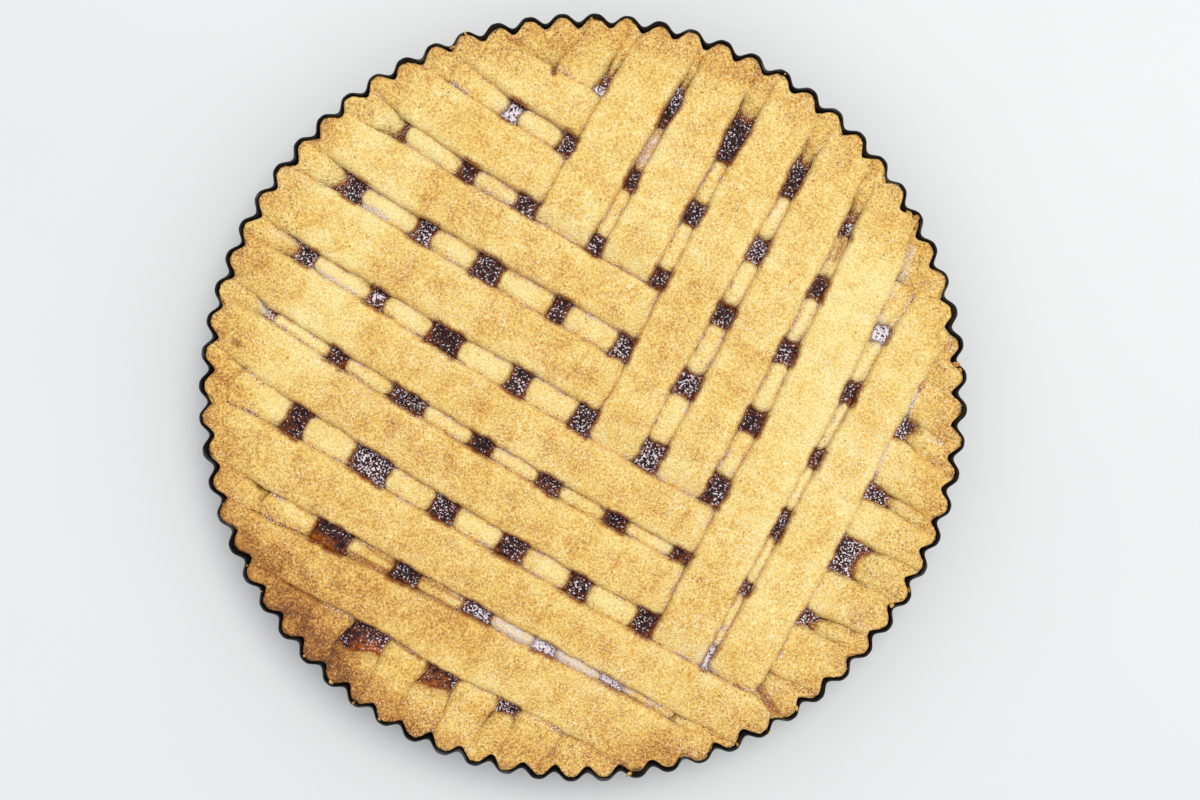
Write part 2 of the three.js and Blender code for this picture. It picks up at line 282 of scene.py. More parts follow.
def bumps(x, y, size, seed):
    """Smooth random bumps between -1 and 1, each about size across."""
    heights = np.random.default_rng(seed).uniform(-1, 1, (REPEAT, REPEAT))
    u, v = turned(x / size, y / size, seed)
    i, j = np.floor(u).astype(int), np.floor(v).astype(int)
    right, up = ease(u - i), ease(v - j)
    i, j = i % REPEAT, j % REPEAT
    k, m = (i + 1) % REPEAT, (j + 1) % REPEAT
    return mix(mix(heights[i, j], heights[k, j], right), mix(heights[i, m], heights[k, m], right), up)


def beads(x, y, size, seed):
    """A bed of beads about size across: 1 on top of a bead, and 0 between beads."""
    spots = np.random.default_rng(seed).uniform(0, 1, (REPEAT, REPEAT, 2))
    u, v = x / size, y / size
    nearest = np.full(np.shape(u), float(REPEAT))
    for di in (-1, 0, 1):
        for dj in (-1, 0, 1):
            i, j = np.floor(u).astype(int) + di, np.floor(v).astype(int) + dj
            spot = spots[i % REPEAT, j % REPEAT]
            nearest = np.minimum(nearest, np.hypot(i + spot[..., 0] - u, j + spot[..., 1] - v))
    return 1 - np.clip(nearest / BEAD_REACH, 0, 1) ** 2


Layer = namedtuple("Layer", "size amount seed")


def layered(x, y, layers, seed=0, pattern=bumps):
    """A sum of layers of a pattern, each with its own size, amount and seed."""
    return sum(layer.amount * pattern(x, y, layer.size, seed + layer.seed) for layer in layers)


def cracks(x, y, seed):
    """Thin wandering cracks: 1 in the middle of a crack and 0 beside it."""
    line = bell(bumps(x, y, CRACK_SPACING, seed), CRACK_WIDTH)
    return line * step(bumps(x, y, CRACKED_PATCH, seed + 1), 0.1, 0.5)


def brushed(strokes, x, y):
    """How much of the strokes' amounts a place gets."""
    total = np.zeros(np.shape(x))
    for stroke in strokes:
        x0, y0, x1, y1, radius = (size * MM for size in stroke[:-1])
        dx, dy = x1 - x0, y1 - y0
        length = max(math.hypot(dx, dy), MM)
        share = np.clip(((x - x0) * dx + (y - y0) * dy) / length**2, 0, 1)
        away = np.hypot(x - x0 - share * dx, y - y0 - share * dy)
        total = np.maximum(total, stroke.amount * fall(away, STROKE_CORE * radius, STROKE_REACH * radius))
    return total


def waves(x, y, z):
    """How far the long waves of the tart's top lift a point."""
    rise = 0
    for wave in WAVES:
        distance = x * math.cos(wave.heading) + y * math.sin(wave.heading)
        rise = rise + wave.height * np.sin(2 * math.pi * distance / wave.length + wave.phase)
    return rise * step(z, JAM_TOP, RIM_TOP)


# The flutes


def crease_share(angle):
    """0 at a flute's tip and 1 in the crease between two flutes."""
    return ((1 - np.cos(FLUTES * (angle - FLUTE_TURN))) / 2) ** FLUTE_SHARPNESS


def tin_radius(angle, height):
    wall = TIN_RADIUS - TIN_FLARE * (1 - height / TIN_HEIGHT)
    return wall - FLUTE_DEPTH * crease_share(angle)


SHRUNK = (0.4 * MM, 1.1 * MM)  # the least and the most that the case has drawn back from a crease
SHRUNK_SEED = 5
NOTCH_SHARPNESS = 1.2
DRAWN_IN = 0.35 * MM  # how far the case has drawn in all round
# Unevenness of the case's outline, with sizes as shares of the radius
OUTLINE_LAYERS = [Layer(0.11, 0.3 * MM, 31), Layer(0.025, 0.2 * MM, 32), Layer(0.012, 0.16 * MM, 33)]


def shrinkage(angle):
    """How far the case has drawn back from each crease."""
    crease = np.floor(FLUTES * (angle - FLUTE_TURN) / (2 * math.pi)).astype(int) % FLUTES
    return np.random.default_rng(SHRUNK_SEED).uniform(*SHRUNK, FLUTES)[crease]


def case_outline(angle):
    """Radius of the case's outline at the rim."""
    notch = crease_share(angle) ** NOTCH_SHARPNESS * shrinkage(angle)
    drawn_in = DRAWN_IN + layered(np.cos(angle), np.sin(angle), OUTLINE_LAYERS)
    return tin_radius(angle, TIN_HEIGHT) - CASE_INSET - notch - np.maximum(drawn_in, 0)


def pressed(x, y):
    """Moves places on the rim outward or inward, so that its round outline fits the flutes."""
    radius = np.hypot(x, y)
    angle = np.arctan2(y, x)
    share = step(radius, PRESS_START, 2 * RIM_CIRCLE - PRESS_START) * 2
    scale = 1 + np.minimum(share, 1) * (case_outline(angle) - RIM_CIRCLE) / np.maximum(radius, MM)
    return x * scale, y * scale


# The lattice's lines


def across(strip, along):
    t = along / UNIT
    return strip.offset + t * (strip.lean + t * (strip.bow + t * strip.swing))


def slope(strip, along):
    t = along / UNIT
    return (strip.lean + t * (2 * strip.bow + 3 * t * strip.swing)) / UNIT


def half_width(strip, along):
    return (strip.width + strip.taper * along / UNIT) / 2


def runs_along_x(strip):
    return strip.name.startswith("strip_a")


def plan(strip, along, side):
    """The plan place of a point that lies side to the left of a strip's middle line."""
    tilt = slope(strip, along)
    left = (side if runs_along_x(strip) else -side) / np.hypot(1, tilt)
    u, v = along - left * tilt, across(strip, along) + left
    return turned(u, v, LATTICE_TURN) if runs_along_x(strip) else turned(v, u, LATTICE_TURN)


def on_strip(strip, x, y):
    """The inverse of plan: how far along a strip a place lies, and how far to its left."""
    u, v = turned(x, y, -LATTICE_TURN)
    if not runs_along_x(strip):
        u, v = v, u
    along = u
    for _ in range(2):
        along = u + (v - across(strip, along)) * slope(strip, along)
    left = (v - across(strip, along)) * np.hypot(1, slope(strip, along))
    return along, left if runs_along_x(strip) else -left


def other_strips(strip):
    return [other for other in STRIPS if runs_along_x(other) != runs_along_x(strip)]


Crossing = namedtuple("Crossing", "along reach radius on_top other")


def crossing(strip, other):
    along = other.offset
    for _ in range(ROUNDS):
        along = across(other, across(strip, along))
    beside = across(strip, along)
    skew = abs(slope(strip, along) + slope(other, beside))
    reach = half_width(other, beside) + half_width(strip, along) * skew + CROSSING_MARGIN
    return Crossing(along, reach, math.hypot(along, beside), strip.laid > other.laid, other)


def crossings_of(strip):
    met = (crossing(strip, other) for other in other_strips(strip))
    return sorted((c for c in met if c.radius < TIN_RADIUS), key=lambda c: c.along)


CROSSINGS = {strip.name: crossings_of(strip) for strip in STRIPS}


Lie = namedtuple("Lie", "rise middle between outer")


def lie(strip, along):
    """How a strip lies at each place: how far it has risen onto the others (0 to 1), how near it is to the
    middle between two crossings (0 to 1), whether it rests on both its neighbours (0 or 1), and how far it is
    past its outermost crossings."""
    met = CROSSINGS[strip.name]
    starts = np.array([c.along - c.reach for c in met])
    ends = np.array([c.along + c.reach for c in met])
    tops = np.array([float(c.on_top) for c in met])
    before = np.clip(np.searchsorted(starts, along, side="right") - 1, 0, None)
    after = np.clip(np.searchsorted(ends, along, side="left"), None, len(met) - 1)
    span = np.where(before == after, 1, starts[after] - ends[before])
    share = np.where(before == after, 0, np.clip((along - ends[before]) / span, 0, 1))
    rise = mix(tops[before], tops[after], ease(share))
    outer = np.maximum(starts[0] - along, along - ends[-1])
    return Lie(rise, np.sin(math.pi * share), tops[before] * tops[after], outer)


def levels(strip, along):
    """The underside and the top of a strip's middle line where it lies over the jam."""
    how = lie(strip, along)
    bed = mix(LOWER_BED, UPPER_BED, how.rise) - SAG * how.middle * how.between
    return bed - SINK * how.rise, bed + STRIP_HEIGHT + PUFF * how.middle**0.6 * (1 - how.rise)


EDGE_LAYERS = [Layer(14 * MM, 0.36 * MM, 0), Layer(4 * MM, 0.34 * MM, 1), Layer(1.9 * MM, 0.26 * MM, 2)]
SWELL = 1.5 * MM  # of a strip's edge in the middle of a gap, from where it starts beside the crossings
SWELL_BLUNTNESS = 0.45
TUCK = 0.8 * MM  # how far in the edge lies beside a strip that crosses over it
SWELL_END = 5 * MM  # past the outermost crossing
SPREAD_END = (2 * MM, 14 * MM)


def edge(strip, along, hand):
    """Distance of a strip's edge from its middle line. The edge wobbles, and where the strip lies low in a
    gap it swells, and is rounded off beside the strips that cross over it."""
    how = lie(strip, along)
    wobble = layered(along, hand * UNIT, EDGE_LAYERS, strip.seed)
    swell = (SWELL * how.middle**SWELL_BLUNTNESS - TUCK) * (1 - how.rise) * fall(how.outer, 0, SWELL_END)
    bulge = 0
    for place in BULGES:
        if place.strip == strip.name:
            near = bell(along / MM - place.along, place.reach)
            bulge = bulge + place.amount * MM * near * (hand * place.hand > 0)
    spread = SPREAD * fall(how.outer, *SPREAD_END)
    return half_width(strip, along) + spread + wobble + swell + bulge


def outside(strip, direction, share):
    """Where a line along the strip, at share of its half width from the middle, meets the rim's circle."""
    along = np.full(np.shape(share), direction * RIM_CIRCLE)
    for _ in range(ROUNDS):
        side = share * edge(strip, along, np.sign(share))
        tilt = slope(strip, along)
        left = (side if runs_along_x(strip) else -side) / np.hypot(1, tilt)
        v = across(strip, along) + left
        along = left * tilt + direction * np.sqrt(np.maximum(RIM_CIRCLE**2 - v**2, 0))
    return along


def stop_at(strip, direction):
    """The later strip on the rim that this one ends under, on the side given by direction, or None."""
    met = [c for c in CROSSINGS[strip.name] if not c.on_top and c.radius > RIM_CROSSING]
    met = [c for c in met if c.along * direction > 0]
    return min(met, key=lambda c: abs(c.along)) if met else None


def end_of(strip, direction, share):
    """Where a line along the strip ends: on the rim's circle, or a little way under a later strip."""
    limit = outside(strip, direction, share)
    stop = stop_at(strip, direction)
    if stop is None:
        return limit
    along = np.full(np.shape(share), stop.along - direction * stop.reach)
    for _ in range(ROUNDS):
        side = share * edge(strip, along, np.sign(share))
        along = along + direction * (beside(stop.other, *plan(strip, along, side)) + BURIED)
    return np.where(direction * along < direction * limit, along, limit)


def beside(strip, x, y):
    """How far a place lies to either side of a strip's edges, negative between them."""
    along, side = on_strip(strip, x, y)
    return np.abs(side) - edge(strip, along, np.sign(side))


def clear_of(strip, x, y):
    """How far a place lies outside a strip, its ends included, negative on the strip."""
    along, side = on_strip(strip, x, y)
    low, high = (end_of(strip, direction, np.zeros(1))[0] for direction in (-1, 1))
    past_end = np.maximum(low - along, along - high)
    return np.maximum(np.abs(side) - edge(strip, along, np.sign(side)), past_end)


def clear_of_all(strips, x, y):
    clear = np.full(np.shape(x), 1.0)
    for strip in strips:
        clear = np.minimum(clear, clear_of(strip, x, y))
    return clear


def rounded_clear(strips, x, y):
    """As clear_of_all, but smaller in the corners between two strips."""
    total = np.zeros(np.shape(x))
    for strip in strips:
        total = total + np.exp(-np.clip(clear_of(strip, x, y), -2 * MM, 40 * MM) / CORNER)
    return -CORNER * np.log(total)


# How baked, stained and sugared a place is

EVEN_BAKE = 0.289
LOWER_LEFT_BROWNER = 0.03  # how much browner the lower left is at the tin's edge
BROWNER_HEADING = (-0.8, -0.6)
RIM_BAKE = 0.11
EDGE_BAKE = 0.06
BAKE_LAYERS = [Layer(26 * MM, 0.06, 0), Layer(8 * MM, 0.08, 1)]
EVEN_DUSTING = 0.3
DUST_LAYERS = [Layer(14 * MM, 0.14, 0), Layer(4.5 * MM, 0.14, 1)]


def bake(x, y, seed):
    """How browned the pastry is: 0 is pale, 0.4 golden and 1 burnt. It is browner towards the lower left."""
    toward_lower_left = (BROWNER_HEADING[0] * x + BROWNER_HEADING[1] * y) / TIN_RADIUS
    radius = np.hypot(x, y)
    at_rim = RIM_BAKE * step(radius, 132 * MM, 141 * MM) + EDGE_BAKE * step(radius, 142 * MM, 147 * MM)
    browned = brushed(TOASTED, x, y) - brushed(PALER, x, y)
    return EVEN_BAKE + LOWER_LEFT_BROWNER * toward_lower_left + at_rim + layered(x, y, BAKE_LAYERS, seed) + browned


def dusting(x, y, seed):
    """How much icing sugar has fallen on a place: 0 is none and 2 covers it. Toasted pastry has melted it."""
    return np.clip(EVEN_DUSTING + layered(x, y, DUST_LAYERS, seed) - brushed(TOASTED, x, y), 0, 1)


# Meshes


def grid_faces(rows, columns, closed):
    """Quads between vertices numbered row by row. closed joins the last column to the first."""
    row = np.arange(rows - 1)[:, None] * columns
    column = np.arange(columns if closed else columns - 1)[None, :]
    beyond = (column + 1) % columns
    corners = (row + column, row + beyond, row + columns + beyond, row + columns + column)
    return np.stack(np.broadcast_arrays(*corners), axis=-1).reshape(-1, 4).tolist()


def fan(hub, ring):
    return [(hub, ring[i], ring[(i + 1) % len(ring)]) for i in range(len(ring))]


def tube_faces(rows, columns):
    """Faces of a tube of rings, closed at each end to a hub that is numbered after the rings' vertices."""
    count = rows * columns
    faces = [face[::-1] for face in grid_faces(rows, columns, True)]
    return faces + fan(count, range(columns)) + fan(count + 1, range(count - 1, count - columns - 1, -1))


def padded(traits, count):
    """The traits with a 0 for each of count more vertices."""
    return {name: np.append(values.ravel(), np.zeros(count)) for name, values in traits.items()}


def add_piece(name, points, faces, traits, material):
    """A smooth mesh object whose vertices carry the named traits."""
    mesh = bpy.data.meshes.new(name)
    mesh.from_pydata(np.asarray(points).tolist(), [], faces)
    for trait, values in traits.items():
        layer = mesh.attributes.new(trait, "FLOAT", "POINT")
        layer.data.foreach_set("value", np.asarray(values, np.float32).ravel())
    mesh.polygons.foreach_set("use_smooth", np.ones(len(mesh.polygons), bool))
    mesh.materials.append(material)
    mesh.update()
    piece = bpy.data.objects.new(name, mesh)
    bpy.context.scene.collection.objects.link(piece)
    return piece


def settle(piece, slot, *nodes):
    """The piece rides on the tart and stands for its nodes. Its slot is not used."""
    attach(piece, "root")
    if nodes:
        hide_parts(*nodes)


# Materials

# The colour sockets of a mix node, whose names are shared with its other kinds of socket
MIX_SHARE, MIX_FIRST, MIX_SECOND, MIX_RESULT = 0, 6, 7, 2
SPECK_EDGE = 0.06  # of the noise, over which a speck of sugar fades in


class Shader:
    """A new material and its nodes."""

    def __init__(self, name):
        self.material = bpy.data.materials.new(name)
        self.material.use_nodes = True
        self.tree = self.material.node_tree
        self.surface = self.tree.nodes["Principled BSDF"]
        self.place = self.add("ShaderNodeTexCoord").outputs["Object"]

    def add(self, kind, **values):
        node = self.tree.nodes.new(kind)
        for key, value in values.items():
            setattr(node, key, value)
        return node

    def set(self, socket, value):
        """Links an output to a socket, or sets the socket's own value."""
        if isinstance(value, bpy.types.NodeSocket):
            self.tree.links.new(value, socket)
        else:
            socket.default_value = value

    def trait(self, name):
        return self.add("ShaderNodeAttribute", attribute_name=name).outputs["Fac"]

    def noise(self, size, detail=2.0):
        node = self.add("ShaderNodeTexNoise")
        self.set(node.inputs["Vector"], self.place)
        self.set(node.inputs["Scale"], 1 / size)
        self.set(node.inputs["Detail"], detail)
        return node.outputs["Fac"]

    def cells(self, size):
        node = self.add("ShaderNodeTexVoronoi")
        self.set(node.inputs["Vector"], self.place)
        self.set(node.inputs["Scale"], 1 / size)
        return node.outputs["Distance"], node.outputs["Color"]

    def math(self, operation, *values):
        node = self.add("ShaderNodeMath", operation=operation)
        for socket, value in zip(node.inputs, values):
            self.set(socket, value)
        return node.outputs[0]

    def spread(self, value, low, high, start=0.0, end=1.0):
        """Maps low to start and high to end, and holds them past those."""
        node = self.add("ShaderNodeMapRange")
        for socket, setting in zip(node.inputs, (value, low, high, start, end)):
            self.set(socket, setting)
        return node.outputs[0]

    def blend(self, share, first, second):
        """Mixes two colours, each an output or a plain red, green and blue."""
        node = self.add("ShaderNodeMix", data_type="RGBA")
        self.set(node.inputs[MIX_SHARE], share)
        for socket, colour in ((MIX_FIRST, first), (MIX_SECOND, second)):
            plain = not isinstance(colour, bpy.types.NodeSocket)
            self.set(node.inputs[socket], (*colour, 1) if plain else colour)
        return node.outputs[MIX_RESULT]

    def ramp(self, value, stops):
        node = self.add("ShaderNodeValToRGB")
        self.set(node.inputs[0], value)
        elements = node.color_ramp.elements
        while len(elements) < len(stops):
            elements.new(1.0)
        for element, (position, colour) in zip(elements, stops):
            element.position = position
            element.color = (*colour, 1.0)
        return node.outputs[0]

    def bump(self, height, distance):
        node = self.add("ShaderNodeBump")
        self.set(node.inputs["Height"], height)
        self.set(node.inputs["Distance"], distance)
        self.set(self.surface.inputs["Normal"], node.outputs[0])

    def finish(self, **values):
        for name, value in values.items():
            self.set(self.surface.inputs[name.replace("_", " ")], value)
        return self.material


def pastry_material(pastry):
    """Shortcrust: sandy grain, brown pits, amber where jam has soaked in, and white icing sugar."""
    shader = Shader("baked_shortcrust")
    grain = shader.spread(shader.noise(0.95 * MM), 0.3, 0.7, -1, 1)
    sand = shader.noise(0.45 * MM, 0.5)
    patches = shader.spread(shader.noise(6 * MM), 0.3, 0.7, -1, 1)
    tone = shader.math("MULTIPLY_ADD", grain, pastry.grain_contrast, shader.trait("bake"))
    tone = shader.math("MULTIPLY_ADD", patches, pastry.patch_contrast, tone)
    baked = shader.ramp(tone, [
        (0.0, pastry.pale),
        (0.3, pastry.gold),
        (0.5, pastry.golden),
        (0.75, pastry.toasted),
        (1.0, pastry.burnt),
    ])
    away, chance = shader.cells(1.4 * MM)
    away = shader.math("MULTIPLY_ADD", sand, 0.5, away)
    fewest = shader.spread(shader.trait("pits"), 0.0, 1.0, 0.94, 0.46)
    pit = shader.math("MULTIPLY", shader.spread(away, 0.54, 0.4), shader.math("GREATER_THAN", chance, fewest))
    pitted = shader.blend(shader.math("MULTIPLY", pit, 0.65), baked, pastry.pit)
    amber = shader.ramp(shader.trait("stain"), [
        (0.0, pastry.gold), (0.35, pastry.amber), (0.62, pastry.syrup), (0.85, pastry.jam),
    ])
    soaked = shader.math("MULTIPLY_ADD", grain, 0.12, shader.trait("stain"))
    stained = shader.blend(shader.spread(soaked, 0.05, 0.55), pitted, amber)
    fallen = shader.trait("sugar")
    above = shader.math("SUBTRACT", sand, shader.spread(fallen, 0.0, 2.0, 0.71, 0.2))
    # Thick sugar greys towards a colour that is partly damp sugar and partly painted shade.
    sugar = shader.blend(shader.spread(fallen, 0.45, 1.0), pastry.sugar, pastry.damp_and_shaded_sugar)
    sugar = shader.blend(shader.spread(fallen, 1.15, 1.6), sugar, pastry.drifted_sugar)
    dusted = shader.blend(shader.spread(above, 0.0, SPECK_EDGE, 0.0, 0.85), stained, sugar)
    relief = shader.math("MULTIPLY_ADD", sand, 0.8, grain)
    shader.bump(shader.math("MULTIPLY_ADD", pit, -1.4, relief), pastry.grain_height)
    roughness = shader.spread(soaked, 0.3, 0.8, 0.85, 0.22)
    return shader.finish(Base_Color=dusted, Roughness=roughness)


def jam_material(jam):
    """Dark boiled jam: nearly black where it is deep, amber where it is thin, with a sticky gloss."""
    shader = Shader("dark_jam")
    lumps = shader.spread(shader.noise(1.8 * MM, 3.0), 0.3, 0.7, -1, 1)
    thin = shader.math("MULTIPLY_ADD", lumps, 0.3, shader.trait("amber"))
    colour = shader.ramp(thin, [(0.05, jam.deep), (0.35, jam.plum), (0.65, jam.amber), (1.0, jam.orange)])
    dust = shader.noise(0.8 * MM, 0.0)
    fallen = shader.trait("sugar")
    above = shader.math("SUBTRACT", dust, shader.spread(fallen, 0.3, 1.7, 0.74, 0.38))
    thickness = shader.spread(fallen, 0.6, 1.6, 0.85, 1.0)
    cover = shader.math("MULTIPLY", shader.spread(above, 0.0, SPECK_EDGE), thickness)
    dusted = shader.blend(cover, colour, jam.sugar)
    shader.bump(shader.noise(1.1 * MM), 0.7 * MM)
    roughness = shader.spread(lumps, -0.6, 0.6, 0.08, 0.24)
    return shader.finish(Base_Color=dusted, Roughness=roughness, Specular_IOR_Level=0.16)


def tin_material(tin):
    """A black non-stick coating, a little uneven, and rubbed grey along the top edge: wear, and a painted
    highlight.
    """
    shader = Shader("black_tin")
    smears = shader.noise(9 * MM, 4.0)
    fine = shader.noise(0.7 * MM, 2.0)
    worn_and_glint = shader.math("MULTIPLY", shader.trait("worn_and_glint"), shader.spread(smears, 0.52, 0.68))
    colour = shader.blend(worn_and_glint, tin.coating, tin.steel)
    shader.bump(fine, 0.03 * MM)
    roughness = shader.spread(smears, 0.35, 0.65, 0.3, 0.5)
    return shader.finish(Base_Color=colour, Roughness=roughness, Specular_IOR_Level=0.2)


def sugar_material(dusting):
    """White grains, which have drawn moisture and turned faintly lilac on the jam."""
    shader = Shader("icing_sugar")
    damp = shader.math("MULTIPLY_ADD", shader.noise(2 * MM), 0.3, shader.trait("damp"))
    colour = shader.blend(shader.spread(damp, 0.1, 1.1), dusting.white, dusting.shade)
    return shader.finish(Base_Color=colour, Roughness=0.5)


def floor_material(stage):
    shader = Shader("pale_floor")
    cloud = shader.noise(0.3, 3.0)
    colour = shader.blend(shader.spread(cloud, 0.3, 0.7), stage.floor, stage.floor_shade)
    return shader.finish(Base_Color=colour, Roughness=0.8)


# Settings


def colour(name, description, value):
    return FloatVectorProperty(
        name=name, description=description, default=value, subtype="COLOR", size=3, min=0, max=1
    )


def length(name, description, value):
    return FloatProperty(name=name, description=description, default=value, unit="LENGTH", precision=5, min=0)


def amount(name, description, value, unit="NONE"):
    return FloatProperty(name=name, description=description, default=value, unit=unit, min=0)


def number(name, description, value):
    return IntProperty(name=name, description=description, default=value, min=0)


class TinSettings(bpy.types.PropertyGroup):
    sheet: length("Sheet", "Thickness of the steel", 0.8 * MM)
    foot: length("Foot", "Rounding between the wall and the bottom", 1.6 * MM)
    coating: colour("Coating", "Colour of the non-stick coating", (0.007, 0.007, 0.008))
    # Rubbed steel along the tin's top edge, which also serves as a painted highlight there.
    steel: colour("Steel", "Colour of the steel where the coating is rubbed off", (0.07, 0.07, 0.075))


class PastrySettings(bpy.types.PropertyGroup):
    lumps: length("Lumps", "Height of the pastry's larger unevenness", 0.22 * MM)
    crumb: length("Crumb", "Height of the pastry's finer unevenness", 0.12 * MM)
    crags: length("Crags", "Height of the torn crust on the rim", 0.65 * MM)
    gully: length("Gully", "How far the rim sinks between the ends of the strips", 1.3 * MM)
    crack: length("Crack", "Depth of the cracks in the crust", 0.5 * MM)
    shoulder: length("Shoulder", "Rounding of a strip's edges", 2.3 * MM)
    grain_height: length("Grain height", "Height of the sandy grain", 0.25 * MM)
    grain_contrast: amount("Grain contrast", "How much the sandy grain varies the baking", 0.27)
    patch_contrast: amount("Patch contrast", "How much small patches vary the baking", 0.09)
    pale: colour("Pale", "Pastry that has hardly browned", (0.95, 0.78, 0.33))
    gold: colour("Gold", "Evenly baked pastry", (0.88, 0.585, 0.15))
    golden: colour("Golden", "Well baked pastry", (0.74, 0.40, 0.085))
    toasted: colour("Toasted", "Browned pastry", (0.45, 0.172, 0.032))
    burnt: colour("Burnt", "The darkest pastry", (0.17, 0.052, 0.012))
    pit: colour("Pit", "Small pits and flecks", (0.27, 0.10, 0.025))
    amber: colour("Amber", "Pastry stained by jam", (0.50, 0.205, 0.025))
    syrup: colour("Syrup", "Thin jam on the pastry", (0.34, 0.085, 0.012))
    jam: colour("Jam", "Jam that has run onto the pastry", (0.12, 0.022, 0.008))
    sugar: colour("Sugar", "Icing sugar on the pastry", (1.0, 0.91, 0.64))
    # Greyed sugar for the seams: damp, and partly painted shade.
    damp_and_shaded_sugar: colour("Damp sugar", "Icing sugar in the seams", (0.78, 0.72, 0.76))
    drifted_sugar: colour("Drifted sugar", "Icing sugar where it lies deep", (0.93, 0.90, 0.97))


class JamSettings(bpy.types.PropertyGroup):
    swell: length("Swell", "How far the jam has risen in the openings", 1.3 * MM)
    bubbles: length("Bubbles", "Height of the set bubbles", 0.45 * MM)
    cling: length("Cling", "How far the jam climbs the pastry's edges", 0.9 * MM)
    heap: length("Heap", "Height of the sugar drifted over the jam", 0.8 * MM)
    deep: colour("Deep", "Jam where it is deep", (0.022, 0.005, 0.005))
    plum: colour("Plum", "Jam where it is thinner", (0.10, 0.022, 0.012))
    amber: colour("Amber", "Jam at the edges", (0.26, 0.072, 0.010))
    orange: colour("Orange", "Jam that light shines through", (0.56, 0.125, 0.004))
    sugar: colour("Sugar", "Icing sugar on the jam", (0.90, 0.86, 0.93))


class DustingSettings(bpy.types.PropertyGroup):
    on_pastry: number("On pastry", "Grains of icing sugar on the pastry", 3000)
    on_jam: number("On jam", "Grains of icing sugar on the jam", 3500)
    grain: length("Grain", "Width of a large grain of sugar", 1.25 * MM)
    crumbs: number("Crumbs", "Number of loose crumbs", 120)
    crumb: length("Crumb", "Width of a large crumb", 2.1 * MM)
    white: colour("White", "Icing sugar in the light", (0.95, 0.90, 0.80))
    shade: colour("Shade", "Icing sugar that has drawn moisture", (0.90, 0.80, 0.85))


class StageSettings(bpy.types.PropertyGroup):
    floor_size: length("Floor size", "Width of the floor", 6.0)
    floor: colour("Floor", "Colour of the floor", (0.74, 0.75, 0.745))
    floor_shade: colour("Floor shade", "Second colour of the floor", (0.71, 0.72, 0.715))
    key: amount("Key", "Power of the main light", 26.0, "POWER")
    sky: amount("Sky", "Strength of the light from all round", 0.78)
    lens: FloatProperty(
        name="Lens", description="Focal length of the camera in millimetres", default=50, min=1
    )
    pixel: length("Pixel", "Width of one pixel of the photograph at the rim", 0.39 * MM)


class TartSettings(bpy.types.PropertyGroup):
    tin: PointerProperty(type=TinSettings)
    pastry: PointerProperty(type=PastrySettings)
    jam: PointerProperty(type=JamSettings)
    dusting: PointerProperty(type=DustingSettings)
    stage: PointerProperty(type=StageSettings)


# The stage

FRAME_WIDTH = 1200  # pixels of the photograph
FRAME_HEIGHT = 800
TART_COLUMN = 583  # the tart's middle in the photograph
TART_ROW = 397.5
SENSOR_WIDTH = 36  # of the camera, in millimetres
FARTHEST_SEEN = 20
KEY_PLACE = (0.5, 0.6, 2.1)
KEY_SIZE = 1.2
KEY_TINT = (1.0, 0.985, 0.96)
SKY_TINT = (0.95, 0.97, 1.0, 1.0)


def add_camera(stage):
    data = bpy.data.cameras.new("camera")
    data.lens = stage.lens
    data.sensor_width = SENSOR_WIDTH
    data.clip_end = FARTHEST_SEEN
    camera = bpy.data.objects.new("camera", data)
    width = FRAME_WIDTH * stage.pixel
    x = (FRAME_WIDTH / 2 - TART_COLUMN) * stage.pixel
    y = (TART_ROW - FRAME_HEIGHT / 2) * stage.pixel
    camera.location = (x, y, TIN_HEIGHT + width * data.lens / data.sensor_width)
    bpy.context.scene.collection.objects.link(camera)
    bpy.context.scene.camera = camera


def add_light(name, place, size, power, tint):
    data = bpy.data.lights.new(name, "AREA")
    data.size = size
    data.energy = power
    data.color = tint
    light = bpy.data.objects.new(name, data)
    light.location = place
    light.rotation_euler = (-Vector(place)).to_track_quat("-Z", "Y").to_euler()
    bpy.context.scene.collection.objects.link(light)


def add_sky(strength):
    world = bpy.data.worlds.new("soft_sky")
    world.use_nodes = True
    background = world.node_tree.nodes["Background"]
    background.inputs["Color"].default_value = SKY_TINT
    background.inputs["Strength"].default_value = strength
    bpy.context.scene.world = world


class TART_OT_stage(bpy.types.Operator):
    """Lay the pale floor and set up the camera and the soft light"""

    bl_idname = "tart.stage"
    bl_label = "Stage"

    def execute(self, context):
        stage = context.scene.tart.stage
        half = stage.floor_size / 2
        corners = [(-half, -half, 0), (half, -half, 0), (half, half, 0), (-half, half, 0)]
        floor = add_piece("floor", corners, [(0, 1, 2, 3)], {}, floor_material(stage))
        add_camera(stage)
        add_light("key", KEY_PLACE, KEY_SIZE, stage.key, KEY_TINT)
        add_sky(stage.sky)
        context.scene.view_settings.view_transform = "Standard"
        return {"FINISHED"}


# The tin

TIN_SIDES_PER_FLUTE = 14
WALL_SHARES = (0.25, 0.5, 0.75, 0.9)  # of the tin's height, where its wall has a row of points
BOTTOM_SHARES = (0.2, 0.6)  # of its radius, in from the wall, where its bottom has one


def arc(inset, height, radius, start, end, count):
    """Points of an arc round a middle, as inset and height. An angle of 0 points outward."""
    turn = np.linspace(start, end, count)
    return [(inset - radius * math.cos(a), height + radius * math.sin(a)) for a in turn]


